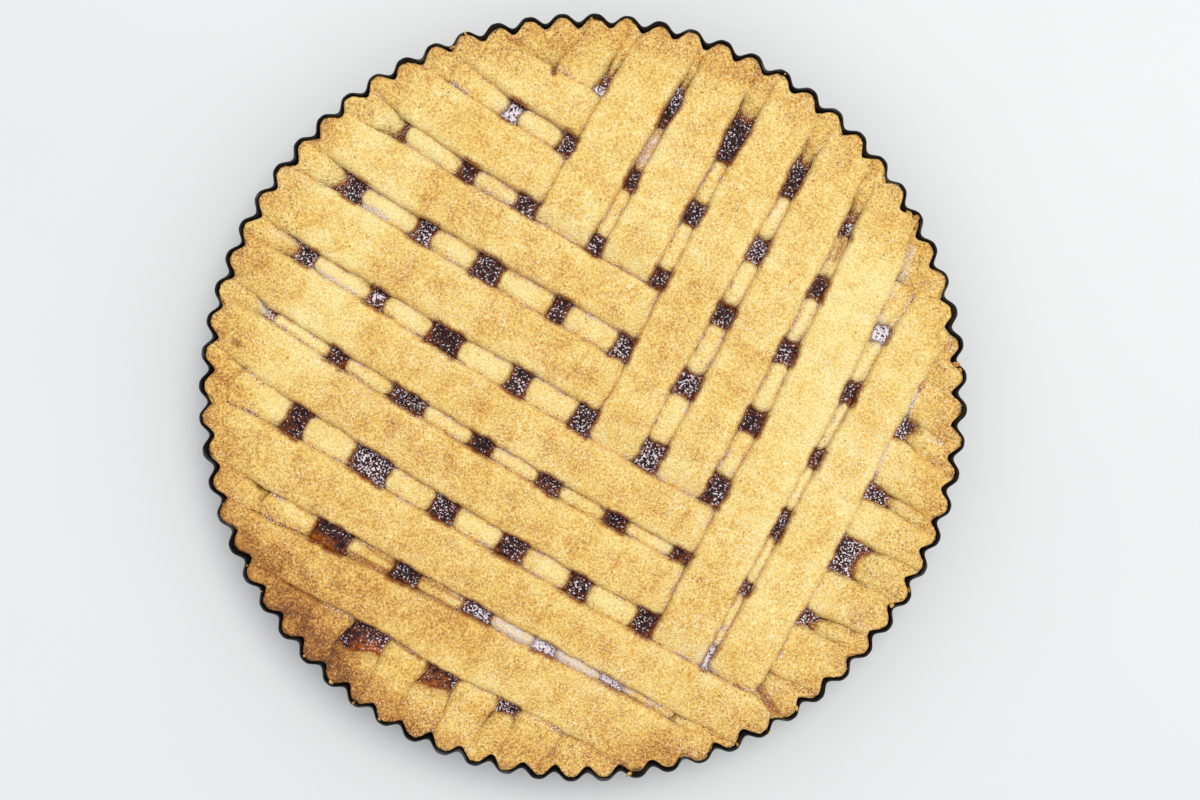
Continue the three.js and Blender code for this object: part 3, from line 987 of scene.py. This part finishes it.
class TART_OT_tin(bpy.types.Operator):
    """Press the thin black tin with its fluted wall"""

    bl_idname = "tart.tin"
    bl_label = "Fluted tin"

    def execute(self, context):
        tin = context.scene.tart.tin
        angle = np.linspace(0, 2 * math.pi, FLUTES * TIN_SIDES_PER_FLUTE, endpoint=False)
        inset, height, worn_and_glint = self.profile(tin)
        radius = tin_radius(angle[None, :], height[:, None]) - inset[:, None]
        x, y = radius * np.cos(angle), radius * np.sin(angle)
        points = np.stack(np.broadcast_arrays(x, y, height[:, None]), axis=-1).reshape(-1, 3)
        rows, columns = radius.shape
        hubs = [(0, 0, 0), (0, 0, tin.sheet)]
        first, last = range(columns - 1, -1, -1), range((rows - 1) * columns, rows * columns)
        faces = grid_faces(rows, columns, True) + fan(len(points), first) + fan(len(points) + 1, last)
        traits = {"worn_and_glint": np.append(np.repeat(worn_and_glint, columns), [0, 0])}
        piece = add_piece("fluted_tin", np.vstack([points, hubs]), faces, traits, tin_material(tin))
        settle(piece, "tin", "tin")
        return {"FINISHED"}

    @staticmethod
    def profile(tin):
        """Inset from the outer wall, height and wear with its painted highlight: up the outside, over the
        edge and down the inside.
        """
        quarter, half, bend = math.pi / 2, tin.sheet / 2, tin.sheet + tin.foot
        # Known flaw: these rows run inward, so the flat underside folds over itself. Reversed, it wouldn't.
        underside = [(TIN_RADIUS * share, 0) for share in BOTTOM_SHARES]
        foot = arc(tin.foot, tin.foot, tin.foot, -quarter, 0, 5)
        wall = [(0, TIN_HEIGHT * share) for share in WALL_SHARES]
        lip = arc(half, TIN_HEIGHT - half, half, 0, 2 * quarter, 7)
        inner = [(tin.sheet, TIN_HEIGHT * share) for share in WALL_SHARES[::-1]]
        cove = arc(bend, bend, tin.foot, 0, -quarter, 4)
        floor = [(TIN_RADIUS * share, tin.sheet) for share in BOTTOM_SHARES]
        outline = [*underside, *foot, *wall, *lip, *inner, *cove, *floor]
        inset, height = np.array(outline).T
        worn_and_glint = np.array([float(point in lip) for point in outline])
        return inset, height, worn_and_glint


# The pastry case

CASE_SIDES_PER_FLUTE = 16
# Known flaw: the third ring lies outside the fourth, so the case folds over itself between them.
FLOOR_RINGS = [70 * MM, FLOOR_RADIUS, 121.5 * MM, RIM_SLOPE_START]
FLAT_RINGS = 2  # the first of them, on the flat floor
RIM_RINGS = 30
EDGE_STEPS = 6
SIDE_TOP = RIM_SLOPE_START + 2 * MM  # radius where the side that rises from the floor meets the slope
WALL_HEIGHTS = [24 * MM, 19 * MM, 12 * MM, 5 * MM]
HIDDEN_BAKE = 0.45
HOLLOW_DEPTH = 0.5 * MM  # of the rim's dips, below the jam
CREASE_DEPTH = 0.9 * MM  # of the crease along a strip's edge
CREASE_WIDTH = 1.1 * MM
GULLY_WIDTH = 3 * MM
UNDER_STRIPS = RIM_BED - 0.5 * MM
CASE_LUMPS = [Layer(6.5 * MM, 2.2, 401)]
CASE_CRUMB = [Layer(2.4 * MM, 2.4, 402)]
CASE_CRAGS = [Layer(3.4 * MM, 0.6, 403), Layer(1.9 * MM, 0.7, 411)]
CRAG_LEVEL = 0.7  # taken off the crags, so that they go down as well as up
CASE_CRACKS_SEED = 410


def quarter_drop(distance, rounding):
    """How far a quarter-round edge has dropped at a distance in from it."""
    inward = np.clip(distance / rounding, 0, 1)
    return rounding * (1 - np.sqrt(1 - (1 - inward) ** 2))


def rim_slope(x, y):
    """Height of the case from the floor's edge up to the rim, before its unevenness."""
    height = mix(JAM_TOP, RIM_TOP, step(np.hypot(x, y), RIM_SLOPE_START, RIM_SLOPE_END))
    return mix(height, JAM_TOP - HOLLOW_DEPTH, brushed(HOLLOWS, x, y))


def case_surface(x, y, pastry):
    """Height of the case inside the rim's edge, and its traits."""
    radius = np.hypot(x, y)
    side = mix(FLOOR_TOP, JAM_TOP, (radius - FLOOR_RADIUS) / (SIDE_TOP - FLOOR_RADIUS))
    slope_height = rim_slope(x, y)
    height = np.where(radius < SIDE_TOP, np.minimum(side, slope_height), slope_height)
    clear = clear_of_all(STRIPS, x, y)
    cracked = cracks(x, y, CASE_CRACKS_SEED)
    rough = pastry.lumps * layered(x, y, CASE_LUMPS) + pastry.crumb * layered(x, y, CASE_CRUMB)
    crags = pastry.crags * (layered(x, y, CASE_CRAGS, pattern=beads) - CRAG_LEVEL) - pastry.crack * cracked
    gully = pastry.gully * bell(clear, GULLY_WIDTH) * fall(radius, 137 * MM, 145 * MM)
    height = height + rough + crags - CREASE_DEPTH * bell(clear, CREASE_WIDTH) - gully
    settled = mix(np.minimum(height, UNDER_STRIPS), height, step(clear, -1.3 * MM, -0.3 * MM))
    height = np.where(radius > FLOOR_RADIUS, settled, height)
    height = height + waves(x, y, height) - quarter_drop(RIM_CIRCLE - radius, RIM_ROUNDING)
    # Beside the strips the rim is browned and greyed with sugar: partly browning, partly painted shade.
    near_strip_bake_and_shade = fall(clear, 0, 1.6 * MM) * (0.5 + 0.5 * bumps(x, y, 5 * MM, 404))
    wet = fall(height, JAM_TOP + 1.6 * MM, JAM_TOP + 4.4 * MM)
    baked = bake(x, y, 405) + 0.07 * bumps(x, y, 3 * MM, 406)
    traits = {
        "bake": baked + 0.13 * near_strip_bake_and_shade + 0.12 * cracked,
        "stain": np.maximum((0.66 + 0.25 * bumps(x, y, 4 * MM, 408)) * wet, brushed(STAINED, x, y)),
        "sugar": dusting(x, y, 407) + 0.4 * near_strip_bake_and_shade + brushed(DRIFTS, x, y),
        "pits": 0.8 + 0.3 * bumps(x, y, 5 * MM, 409),
        "open": (clear > 0) & (radius > RIM_SLOPE_START),
    }
    return height, traits


class TART_OT_pastry_case(bpy.types.Operator):
    """Line the tin with the pastry case and its broad uneven rim"""

    bl_idname = "tart.pastry_case"
    bl_label = "Pastry case"

    def execute(self, context):
        pastry = context.scene.tart.pastry
        angle = np.linspace(-math.pi, math.pi, FLUTES * CASE_SIDES_PER_FLUTE, endpoint=False)
        rim = np.linspace(RIM_SLOPE_START + 0.7 * MM, RIM_CIRCLE - RIM_ROUNDING, RIM_RINGS)
        edge_turn = np.linspace(math.pi / 2, 0, EDGE_STEPS)[1:]
        rounded = RIM_CIRCLE - RIM_ROUNDING * (1 - np.cos(edge_turn))
        radii = np.concatenate([FLOOR_RINGS, rim, rounded])
        x, y = radii[:, None] * np.cos(angle), radii[:, None] * np.sin(angle)
        height, traits = case_surface(x, y, pastry)
        height[:FLAT_RINGS] = FLOOR_TOP
        top, wall = (*pressed(x, y), height), self.wall(angle)
        points = np.stack([np.vstack(pair) for pair in zip(top, wall)], axis=-1)
        rows, columns = points.shape[:2]
        hubs = [(0, 0, FLOOR_TOP), (0, 0, CASE_BOTTOM)]
        points = np.vstack([points.reshape(-1, 3), hubs])
        hidden = wall[0].size + len(hubs)
        traits = padded(traits, hidden)
        traits["bake"][-hidden:] = HIDDEN_BAKE
        piece = add_piece("pastry_case", points, tube_faces(rows, columns), traits, pastry_material(pastry))
        settle(piece, "crust", "crust")
        return {"FINISHED"}

    @staticmethod
    def wall(angle):
        """The case's outer wall, down from the rim to the bottom."""
        heights = np.array([*WALL_HEIGHTS, CASE_BOTTOM])
        radius = case_outline(angle)[None, :] - TIN_FLARE * (1 - heights[:, None] / TIN_HEIGHT)
        return radius * np.cos(angle), radius * np.sin(angle), np.broadcast_to(heights[:, None], radius.shape)


# The jam

JAM_CELLS = 290
CLING_WIDTH = 0.8 * MM  # how far out from the pastry the jam is drawn up and looks thin
JAM_BEADS = [Layer(2.3 * MM, 0.6, 501), Layer(1.3 * MM, 0.4, 502)]
JAM_SWELLS = [Layer(7 * MM, 0.5 * MM, 503)]


class TART_OT_jam(bpy.types.Operator):
    """Spread the jam, risen and bubbled in the openings and clinging to the pastry round them"""

    bl_idname = "tart.jam"
    bl_label = "Jam"

    def execute(self, context):
        jam = context.scene.tart.jam
        line = np.linspace(-1, 1, JAM_CELLS + 1)
        u, v = np.meshgrid(line, line, indexing="ij")
        x = JAM_REACH * u * np.sqrt(1 - v * v / 2)
        y = JAM_REACH * v * np.sqrt(1 - u * u / 2)
        height, traits = self.surface(x, y, jam)
        top = np.stack([x, y, height], axis=-1).reshape(-1, 3)
        border = self.border(JAM_CELLS + 1)
        shrink = FLOOR_RADIUS / JAM_REACH
        foot = top[border] * (shrink, shrink, 0) + (0, 0, JAM_BOTTOM)
        points = np.vstack([top, foot, [(0, 0, JAM_BOTTOM)]])
        start, count = len(top), len(border)
        side = [
            (border[i], start + i, start + (i + 1) % count, border[(i + 1) % count])
            for i in range(count)
        ]
        faces = [face[::-1] for face in grid_faces(JAM_CELLS + 1, JAM_CELLS + 1, False)]
        faces += side + fan(start + count, range(start + count - 1, start - 1, -1))
        piece = add_piece("jam_filling", points, faces, padded(traits, count + 1), jam_material(jam))
        settle(piece, "jam", "jam")
        return {"FINISHED"}

    @staticmethod
    def surface(x, y, jam):
        """Height of the jam's top and its traits."""
        clear = clear_of_all(STRIPS, x, y)
        drifted, thin = brushed(DRIFTS, x, y), brushed(AMBER_JAM, x, y)
        bubbles = layered(x, y, JAM_BEADS, pattern=beads)
        rise = jam.swell + jam.cling * fading(clear, CLING_WIDTH) + jam.bubbles * bubbles
        rise = rise + layered(x, y, JAM_SWELLS) + jam.heap * drifted
        height = JAM_TOP + step(clear, -0.8 * MM, 0.4 * MM) * rise
        corner = fading(rounded_clear(STRIPS, x, y), CLING_WIDTH)
        shallow = fading(height - rim_slope(x, y), CLING_WIDTH)
        fallen = np.clip(0.68 + 0.35 * bumps(x, y, 11 * MM, 505) - 0.7 * thin, 0.1, 1.2)
        traits = {
            "amber": 0.55 * corner + 0.3 * shallow + thin + 0.12 * bumps(x, y, 5 * MM, 504),
            "sugar": fallen + drifted,
            "open": clear > 0,
        }
        return height, traits

    @staticmethod
    def border(side):
        """Indices of the grid's outer vertices, anticlockwise."""
        index = np.arange(side * side).reshape(side, side)
        return np.concatenate([index[:-1, 0], index[-1, :-1], index[:0:-1, -1], index[0, :0:-1]])


# The lattice

STRIP_STEP = 0.75 * MM
CROWN_COLUMNS = 22
SHOULDER_STEPS = 6
END_ROUNDING = 1.9 * MM
UNDERCUT = 7 * MM  # how much shorter a strip's underside is at each end, so that the flutes can press it in
LOW_HUMP = 0.9 * MM  # how domed a strip is low down, on the others and on the rim
RISEN_HUMP = 0.35 * MM
RIM_HUMP = 0.6 * MM
TUCKED_DROP = 1.5 * MM  # how far a strip's end goes down where it runs under a later strip
STRIP_LUMPS = [Layer(24 * MM, 1, 0), Layer(8 * MM, 0.8, 1)]
STRIP_CRAGS = [Layer(3.2 * MM, 0.5, 602), Layer(1.9 * MM, 0.7, 607)]


def section(pastry):
    """A strip's cross-section as columns, from the right shoulder over the crown and back underneath: share
    from the right edge to the left, inset from the edge, drop from the top, and share down to the bed."""
    turn = np.linspace(0, math.pi / 2, SHOULDER_STEPS)
    inset = pastry.shoulder * 1.15 * (1 - np.cos(turn))
    drop = pastry.shoulder * (1 - np.sin(turn))
    crown = np.linspace(0, 1, CROWN_COLUMNS + 2)[1:-1]
    under = np.array([1, 1, 0.5, 0, 0])
    under_inset = np.array([-0.25, -0.45, 2, -0.45, -0.25]) * MM
    share = np.concatenate([np.zeros(SHOULDER_STEPS), crown, np.ones(SHOULDER_STEPS), under])
    insets = np.concatenate([inset, np.full(CROWN_COLUMNS, inset[-1]), inset[::-1], under_inset])
    drops = np.concatenate([drop, np.zeros(CROWN_COLUMNS), drop[::-1], np.full(len(under), pastry.shoulder)])
    down = np.concatenate([np.zeros(2 * SHOULDER_STEPS + CROWN_COLUMNS), [0.5, 1, 1, 1, 0.5]])
    return share, insets, drops, down


class TART_OT_lattice(bpy.types.Operator):
    """Lay the sixteen pastry strips, each pair over everything laid before it"""

    bl_idname = "tart.lattice"
    bl_label = "Lattice"

    def execute(self, context):
        pastry = context.scene.tart.pastry
        material = bpy.data.materials["baked_shortcrust"]
        for strip in STRIPS:
            points, traits, hubs = self.surface(strip, pastry)
            faces = tube_faces(*points.shape[:2])
            points = np.vstack([points.reshape(-1, 3), hubs])
            piece = add_piece("baked_" + strip.name, points, faces, padded(traits, len(hubs)), material)
            settle(piece, "lattice", strip.name)
        return {"FINISHED"}

    def surface(self, strip, pastry):
        """A strip's points in rows across it, their traits, and the hubs of its two ends."""
        share, inset, drop, down = section(pastry)
        line = np.clip(2 * share - 1, -1, 1)
        start, end = (end_of(strip, direction, line) for direction in (-1, 1))
        stations = int((end - start).max() / STRIP_STEP)
        start, end = start + (down > 0) * UNDERCUT, end - (down > 0) * UNDERCUT
        along = mix(start, end, np.linspace(0, 1, stations)[:, None])
        right_edge, left_edge = (edge(strip, along, np.full(along.shape, hand)) for hand in (-1.0, 1.0))
        side = mix(-(right_edge - inset), left_edge - inset, share)
        x, y = plan(strip, along, side)
        height = self.heights(strip, along, side, x, y, drop, down, pastry)
        traits = self.traits(strip, along, side, x, y, down)
        x, y = pressed(x, y)
        points = np.stack([x, y, height], axis=-1)
        buried = down == 1
        return points, traits, [points[row, buried].mean(axis=0) for row in (0, -1)]

    @staticmethod
    def heights(strip, along, side, x, y, drop, down, pastry):
        bed, top = levels(strip, along)
        radius = np.hypot(x, y)
        on_rim = step(radius, ON_RIM_START, 139 * MM)
        bed, top = mix(bed, RIM_BED, on_rim), mix(top, RIM_STRIP_TOP, on_rim)
        low_hump = mix(LOW_HUMP, RISEN_HUMP, lie(strip, along).rise)
        domed = top - mix(low_hump, RIM_HUMP, on_rim) * (side / half_width(strip, along)) ** 2
        crumb = bumps(x, y, 3.2 * MM, strip.seed + 2) + 0.6 * bumps(x, y, 1.7 * MM, 601)
        relief = pastry.lumps * layered(x, y, STRIP_LUMPS, strip.seed) + pastry.crumb * crumb
        near_rim = step(radius, 122 * MM, 140 * MM)
        crags = near_rim * pastry.crags * (layered(x, y, STRIP_CRAGS, pattern=beads) - CRAG_LEVEL)
        crack = mix(0.3, 1, near_rim) * pastry.crack * cracks(x, y, strip.seed + 4)
        upper = domed + relief + crags - crack - drop - quarter_drop(RIM_CIRCLE - radius, END_ROUNDING)
        for direction in (-1, 1):
            stop = stop_at(strip, direction)
            if stop:
                tucked = fall(beside(stop.other, x, y), -1 * MM, 4 * MM) * (along * direction > 0)
                upper = upper - TUCKED_DROP * tucked
        height = mix(upper, bed, down)
        return height + waves(x, y, height)

    @staticmethod
    def traits(strip, along, side, x, y, down):
        rise = lie(strip, along).rise
        over_jam = fall(np.hypot(x, y), 120 * MM, 130 * MM)
        others = other_strips(strip)
        from_others = clear_of_all(others, x, y)
        sheltered = clear_of_all([other for other in others if other.laid > strip.laid], x, y)
        from_edge = edge(strip, along, np.sign(side)) - np.abs(side)
        ragged = 0.6 + 0.5 * bumps(x, y, 3 * MM, 603) + 0.3 * bumps(x, y, 1.2 * MM, 604)
        beside_jam = fall(from_edge, -0.3 * MM, 2.4 * MM) * step(from_others, -1.2 * MM, 1.2 * MM) * over_jam
        # Seams beside later strips get greyed sugar and browning, partly painted shade.
        in_seam = fall(sheltered, 0.3 * MM, 3.2 * MM) * ragged
        seam_shadow_line = fall(sheltered, 0.3 * MM, 1.5 * MM) * ragged
        crown = 1 - (side / half_width(strip, along)) ** 2
        browner = A_BROWNER * runs_along_x(strip) + 0.09 * rise * (crown - 0.66)
        foot = fall(from_edge, -0.4 * MM, 0.7 * MM) * ragged * rise * step(-from_others, -0.5 * MM, 1 * MM)
        over_others = rise * over_jam * fall(np.abs(from_others + 1.5 * MM), 0, 4 * MM)
        seeped = 0.5 * in_seam * over_jam * step(bumps(x, y, 9 * MM, 605), -0.4, 0.5)
        stain = np.maximum(beside_jam * (0.42 + 0.3 * ragged), seeped)
        baked = bake(x, y, strip.seed + 3) + browner - 0.2 * (1 - rise) * over_jam + 0.06 * over_others
        # Seam and foot browning is partly painted shade; the seam line is a painted shadow with some
        # browning.
        baked = baked + 0.2 * in_seam + 0.45 * seam_shadow_line + 0.25 * foot + 0.1 * cracks(x, y, strip.seed + 4)
        return {
            "bake": baked,
            "stain": np.clip(np.maximum(stain, brushed(STAINED, x, y)), 0, 1),
            "sugar": dusting(x, y, strip.seed + 5) + 0.65 * in_seam + 0.5 * foot
            + mix(0.4, 0.1, rise) * brushed(DRIFTS, x, y),
            "pits": 0.2 * np.maximum(bumps(x, y, 12 * MM, 608), 0) + 0.9 * in_seam + brushed(TOASTED, x, y)
            + (1 - over_jam) * (0.4 + 0.6 * bumps(x, y, 7 * MM, 606)),
            "open": (sheltered > 0) & (down == 0),
        }


# Icing sugar and crumbs

SUGAR_SEED = 71
CRUMB_SEED = 83
CRUMB_BAKE_SEED = 84
LUMPINESS = (0.5, 1.2)  # the nearest and farthest that a grain's points lie, as shares of its size
FLATTENED = (1, 0.75, 0.45)
BARE_PASTRY = 0.3  # dusting up to which no grain lies
BARE_JAM = 0.1
GATHERING = 1.5  # how strongly grains keep to where the dusting is thick
SCATTER = 0.4 * MM
CRUMB_SINK = 0.7 * MM  # of the middle of a crumb on the tin's edge, below the edge


def tumbled(shape, places, sizes, draw):
    """Copies of a shape's points, each turned at random, scaled and moved to its place."""
    turn = draw.normal(size=(len(places), 4))
    w, x, y, z = (turn / np.linalg.norm(turn, axis=1, keepdims=True)).T
    spin = np.array([
        [1 - 2 * (y * y + z * z), 2 * (x * y - z * w), 2 * (x * z + y * w)],
        [2 * (x * y + z * w), 1 - 2 * (x * x + z * z), 2 * (y * z - x * w)],
        [2 * (x * z - y * w), 2 * (y * z + x * w), 1 - 2 * (x * x + y * y)],
    ])
    lumpy = shape[None] * draw.uniform(*LUMPINESS, (len(places), len(shape), 1)) * FLATTENED
    return np.einsum("ijn,nkj->nki", spin, lumpy) * sizes[:, None, None] + places[:, None]


def copied_faces(faces, count, corners):
    return (np.asarray(faces)[None] + corners * np.arange(count)[:, None, None]).reshape(-1, 3).tolist()


def ball(rings):
    """Points and faces of a ball of radius 1 made from an octahedron, each face split rings - 1 times."""
    points = [(1, 0, 0), (0, 1, 0), (-1, 0, 0), (0, -1, 0), (0, 0, 1), (0, 0, -1)]
    faces = [(0, 1, 4), (1, 2, 4), (2, 3, 4), (3, 0, 4), (1, 0, 5), (2, 1, 5), (3, 2, 5), (0, 3, 5)]
    points = [Vector(point) for point in points]
    for _ in range(rings - 1):
        middles, finer = {}, []
        for a, b, c in faces:
            halves = []
            for pair in ((a, b), (b, c), (c, a)):
                key = tuple(sorted(pair))
                if key not in middles:
                    middles[key] = len(points)
                    points.append((points[key[0]] + points[key[1]]).normalized())
                halves.append(middles[key])
            ab, bc, ca = halves
            finer += [(a, ab, ca), (b, bc, ab), (c, ca, bc), (ab, bc, ca)]
        faces = finer
    return np.array(points), faces


def open_places(names):
    """The vertices of some pieces that the sky can see, and how much sugar lies on each."""
    places, sugar = [], []
    for name in names:
        mesh = bpy.data.objects[name].data
        count = len(mesh.vertices)
        spots, seen, amount = np.zeros(3 * count), np.zeros(count), np.zeros(count)
        mesh.vertices.foreach_get("co", spots)
        mesh.attributes["open"].data.foreach_get("value", seen)
        mesh.attributes["sugar"].data.foreach_get("value", amount)
        places.append(spots.reshape(-1, 3)[seen > 0.5])
        sugar.append(amount[seen > 0.5])
    return np.vstack(places), np.concatenate(sugar)


def pastry_pieces():
    return ["pastry_case", *("baked_" + strip.name for strip in STRIPS)]


class TART_OT_icing_sugar(bpy.types.Operator):
    """Dust the tart with grains of icing sugar, thickest on the jam and in the creases"""

    bl_idname = "tart.icing_sugar"
    bl_label = "Icing sugar"

    def execute(self, context):
        dusting = context.scene.tart.dusting
        draw = np.random.default_rng(SUGAR_SEED)
        places = []
        for names, grains, bare in (
            (pastry_pieces(), dusting.on_pastry, BARE_PASTRY),
            (["jam_filling"], dusting.on_jam, BARE_JAM),
        ):
            spots, sugar = open_places(names)
            odds = np.clip(sugar - bare, 0, None) ** GATHERING
            places.append(spots[draw.choice(len(spots), grains, p=odds / odds.sum())])
        damp = np.repeat([0.0, 1.0], [dusting.on_pastry, dusting.on_jam])
        places = np.vstack(places)
        grains = len(places)
        places += draw.uniform(-SCATTER, SCATTER, (grains, 3)) * (1, 1, 0)
        sizes = dusting.grain / 2 * draw.uniform(0.4, 1, grains) * mix(0.5, 1, damp)
        shape, faces = ball(1)
        points = tumbled(shape, places, sizes, draw).reshape(-1, 3)
        faces = copied_faces(faces, grains, len(shape))
        traits = {"damp": np.repeat(damp, len(shape))}
        piece = add_piece("icing_sugar", points, faces, traits, sugar_material(dusting))
        settle(piece, "lattice")
        return {"FINISHED"}


# Crumbs on the tin's edge: the angle from +X in degrees, and in millimetres the size and how far the middle
# lies in from the fluted edge. A crumb of size 3 is 1 from its middle to the outside, before its lumps. The
# ones at 28 degrees make one torn flake.
SIZES_PER_HALF = 3
EDGE_CRUMBS = [
    (110.5, 5.2, 0.8), (107.8, 4.0, 0.4), (196.5, 3.0, 1.2), (211, 3.4, 0.3), (206.5, 2.2, 0.9),
    (228.5, 4.5, 1.4), (233, 4.8, 0.6), (237.6, 2.6, 1.1), (304.5, 5.4, 0.9), (299, 3.6, 0.2),
    (294, 3.0, 1.3), (277, 5.0, 0.7), (326.1, 5.2, 1.5), (329.6, 4.6, 0.5), (15, 2.2, 0.3), (58, 2.4, 0.8),
    (27.2, 6.5, 3.2), (28.3, 7.0, 2.6), (29.4, 6.0, 3.0), (28.9, 5.0, 4.2), (5.2, 6.0, 1.0), (4.2, 4.5, 1.6),
]


class TART_OT_crumbs(bpy.types.Operator):
    """Scatter loose crumbs over the rim, the strips and the tin's edge"""

    bl_idname = "tart.crumbs"
    bl_label = "Crumbs"

    def execute(self, context):
        dusting = context.scene.tart.dusting
        draw = np.random.default_rng(CRUMB_SEED)
        places, _ = open_places(pastry_pieces())
        odds = step(np.hypot(places[:, 0], places[:, 1]), 90 * MM, 146 * MM) ** 2 + 0.03
        chosen = draw.choice(len(places), dusting.crumbs, p=odds / odds.sum())
        sizes = dusting.crumb / 2 * draw.uniform(0.2, 1, dusting.crumbs) ** 2
        degrees, edge_sizes, inset = np.array(EDGE_CRUMBS).T
        angle = np.radians(degrees)
        radius = TIN_RADIUS - FLUTE_DEPTH * crease_share(angle) - inset * MM
        height = np.full(len(angle), TIN_HEIGHT - CRUMB_SINK)
        on_edge = np.stack([radius * np.cos(angle), radius * np.sin(angle), height], axis=-1)
        places = np.vstack([places[chosen], on_edge])
        sizes = np.concatenate([sizes, edge_sizes * MM / SIZES_PER_HALF])
        shape, faces = ball(2)
        points = tumbled(shape, places, sizes, draw).reshape(-1, 3)
        count = len(points)
        traits = {
            "bake": 0.5 + 0.2 * bumps(points[:, 0], points[:, 1], 6 * MM, CRUMB_BAKE_SEED),
            "stain": np.zeros(count),
            "sugar": np.full(count, 0.15),
            "pits": np.full(count, 0.5),
        }
        faces = copied_faces(faces, len(places), len(shape))
        piece = add_piece("loose_crumbs", points, faces, traits, bpy.data.materials["baked_shortcrust"])
        settle(piece, "crust")
        return {"FINISHED"}


# The panel and the run

STEPS = ("stage", "tin", "pastry_case", "jam", "lattice", "icing_sugar", "crumbs")
GROUPS = ("tin", "pastry", "jam", "dusting", "stage")


class TART_PT_panel(bpy.types.Panel):
    """The tart's pieces and their settings"""

    bl_label = "Linzer tart"
    bl_idname = "TART_PT_panel"
    bl_space_type = "VIEW_3D"
    bl_region_type = "UI"
    bl_category = "Linzer tart"

    def draw(self, context):
        for name in STEPS:
            self.layout.operator("tart." + name)
        for group in GROUPS:
            box = self.layout.box()
            settings = getattr(context.scene.tart, group)
            for name in settings.__annotations__:
                box.prop(settings, name)


CLASSES = (
    TinSettings, PastrySettings, JamSettings, DustingSettings, StageSettings, TartSettings,
    TART_OT_stage, TART_OT_tin, TART_OT_pastry_case, TART_OT_jam, TART_OT_lattice, TART_OT_icing_sugar,
    TART_OT_crumbs, TART_PT_panel,
)


def register():
    for cls in CLASSES:
        bpy.utils.register_class(cls)
    bpy.types.Scene.tart = PointerProperty(type=TartSettings)


def unregister():
    del bpy.types.Scene.tart
    for cls in reversed(CLASSES):
        bpy.utils.unregister_class(cls)


def main():
    register()
    for name in STEPS:
        getattr(bpy.ops.tart, name)()


if __name__ == "__main__":
    main()
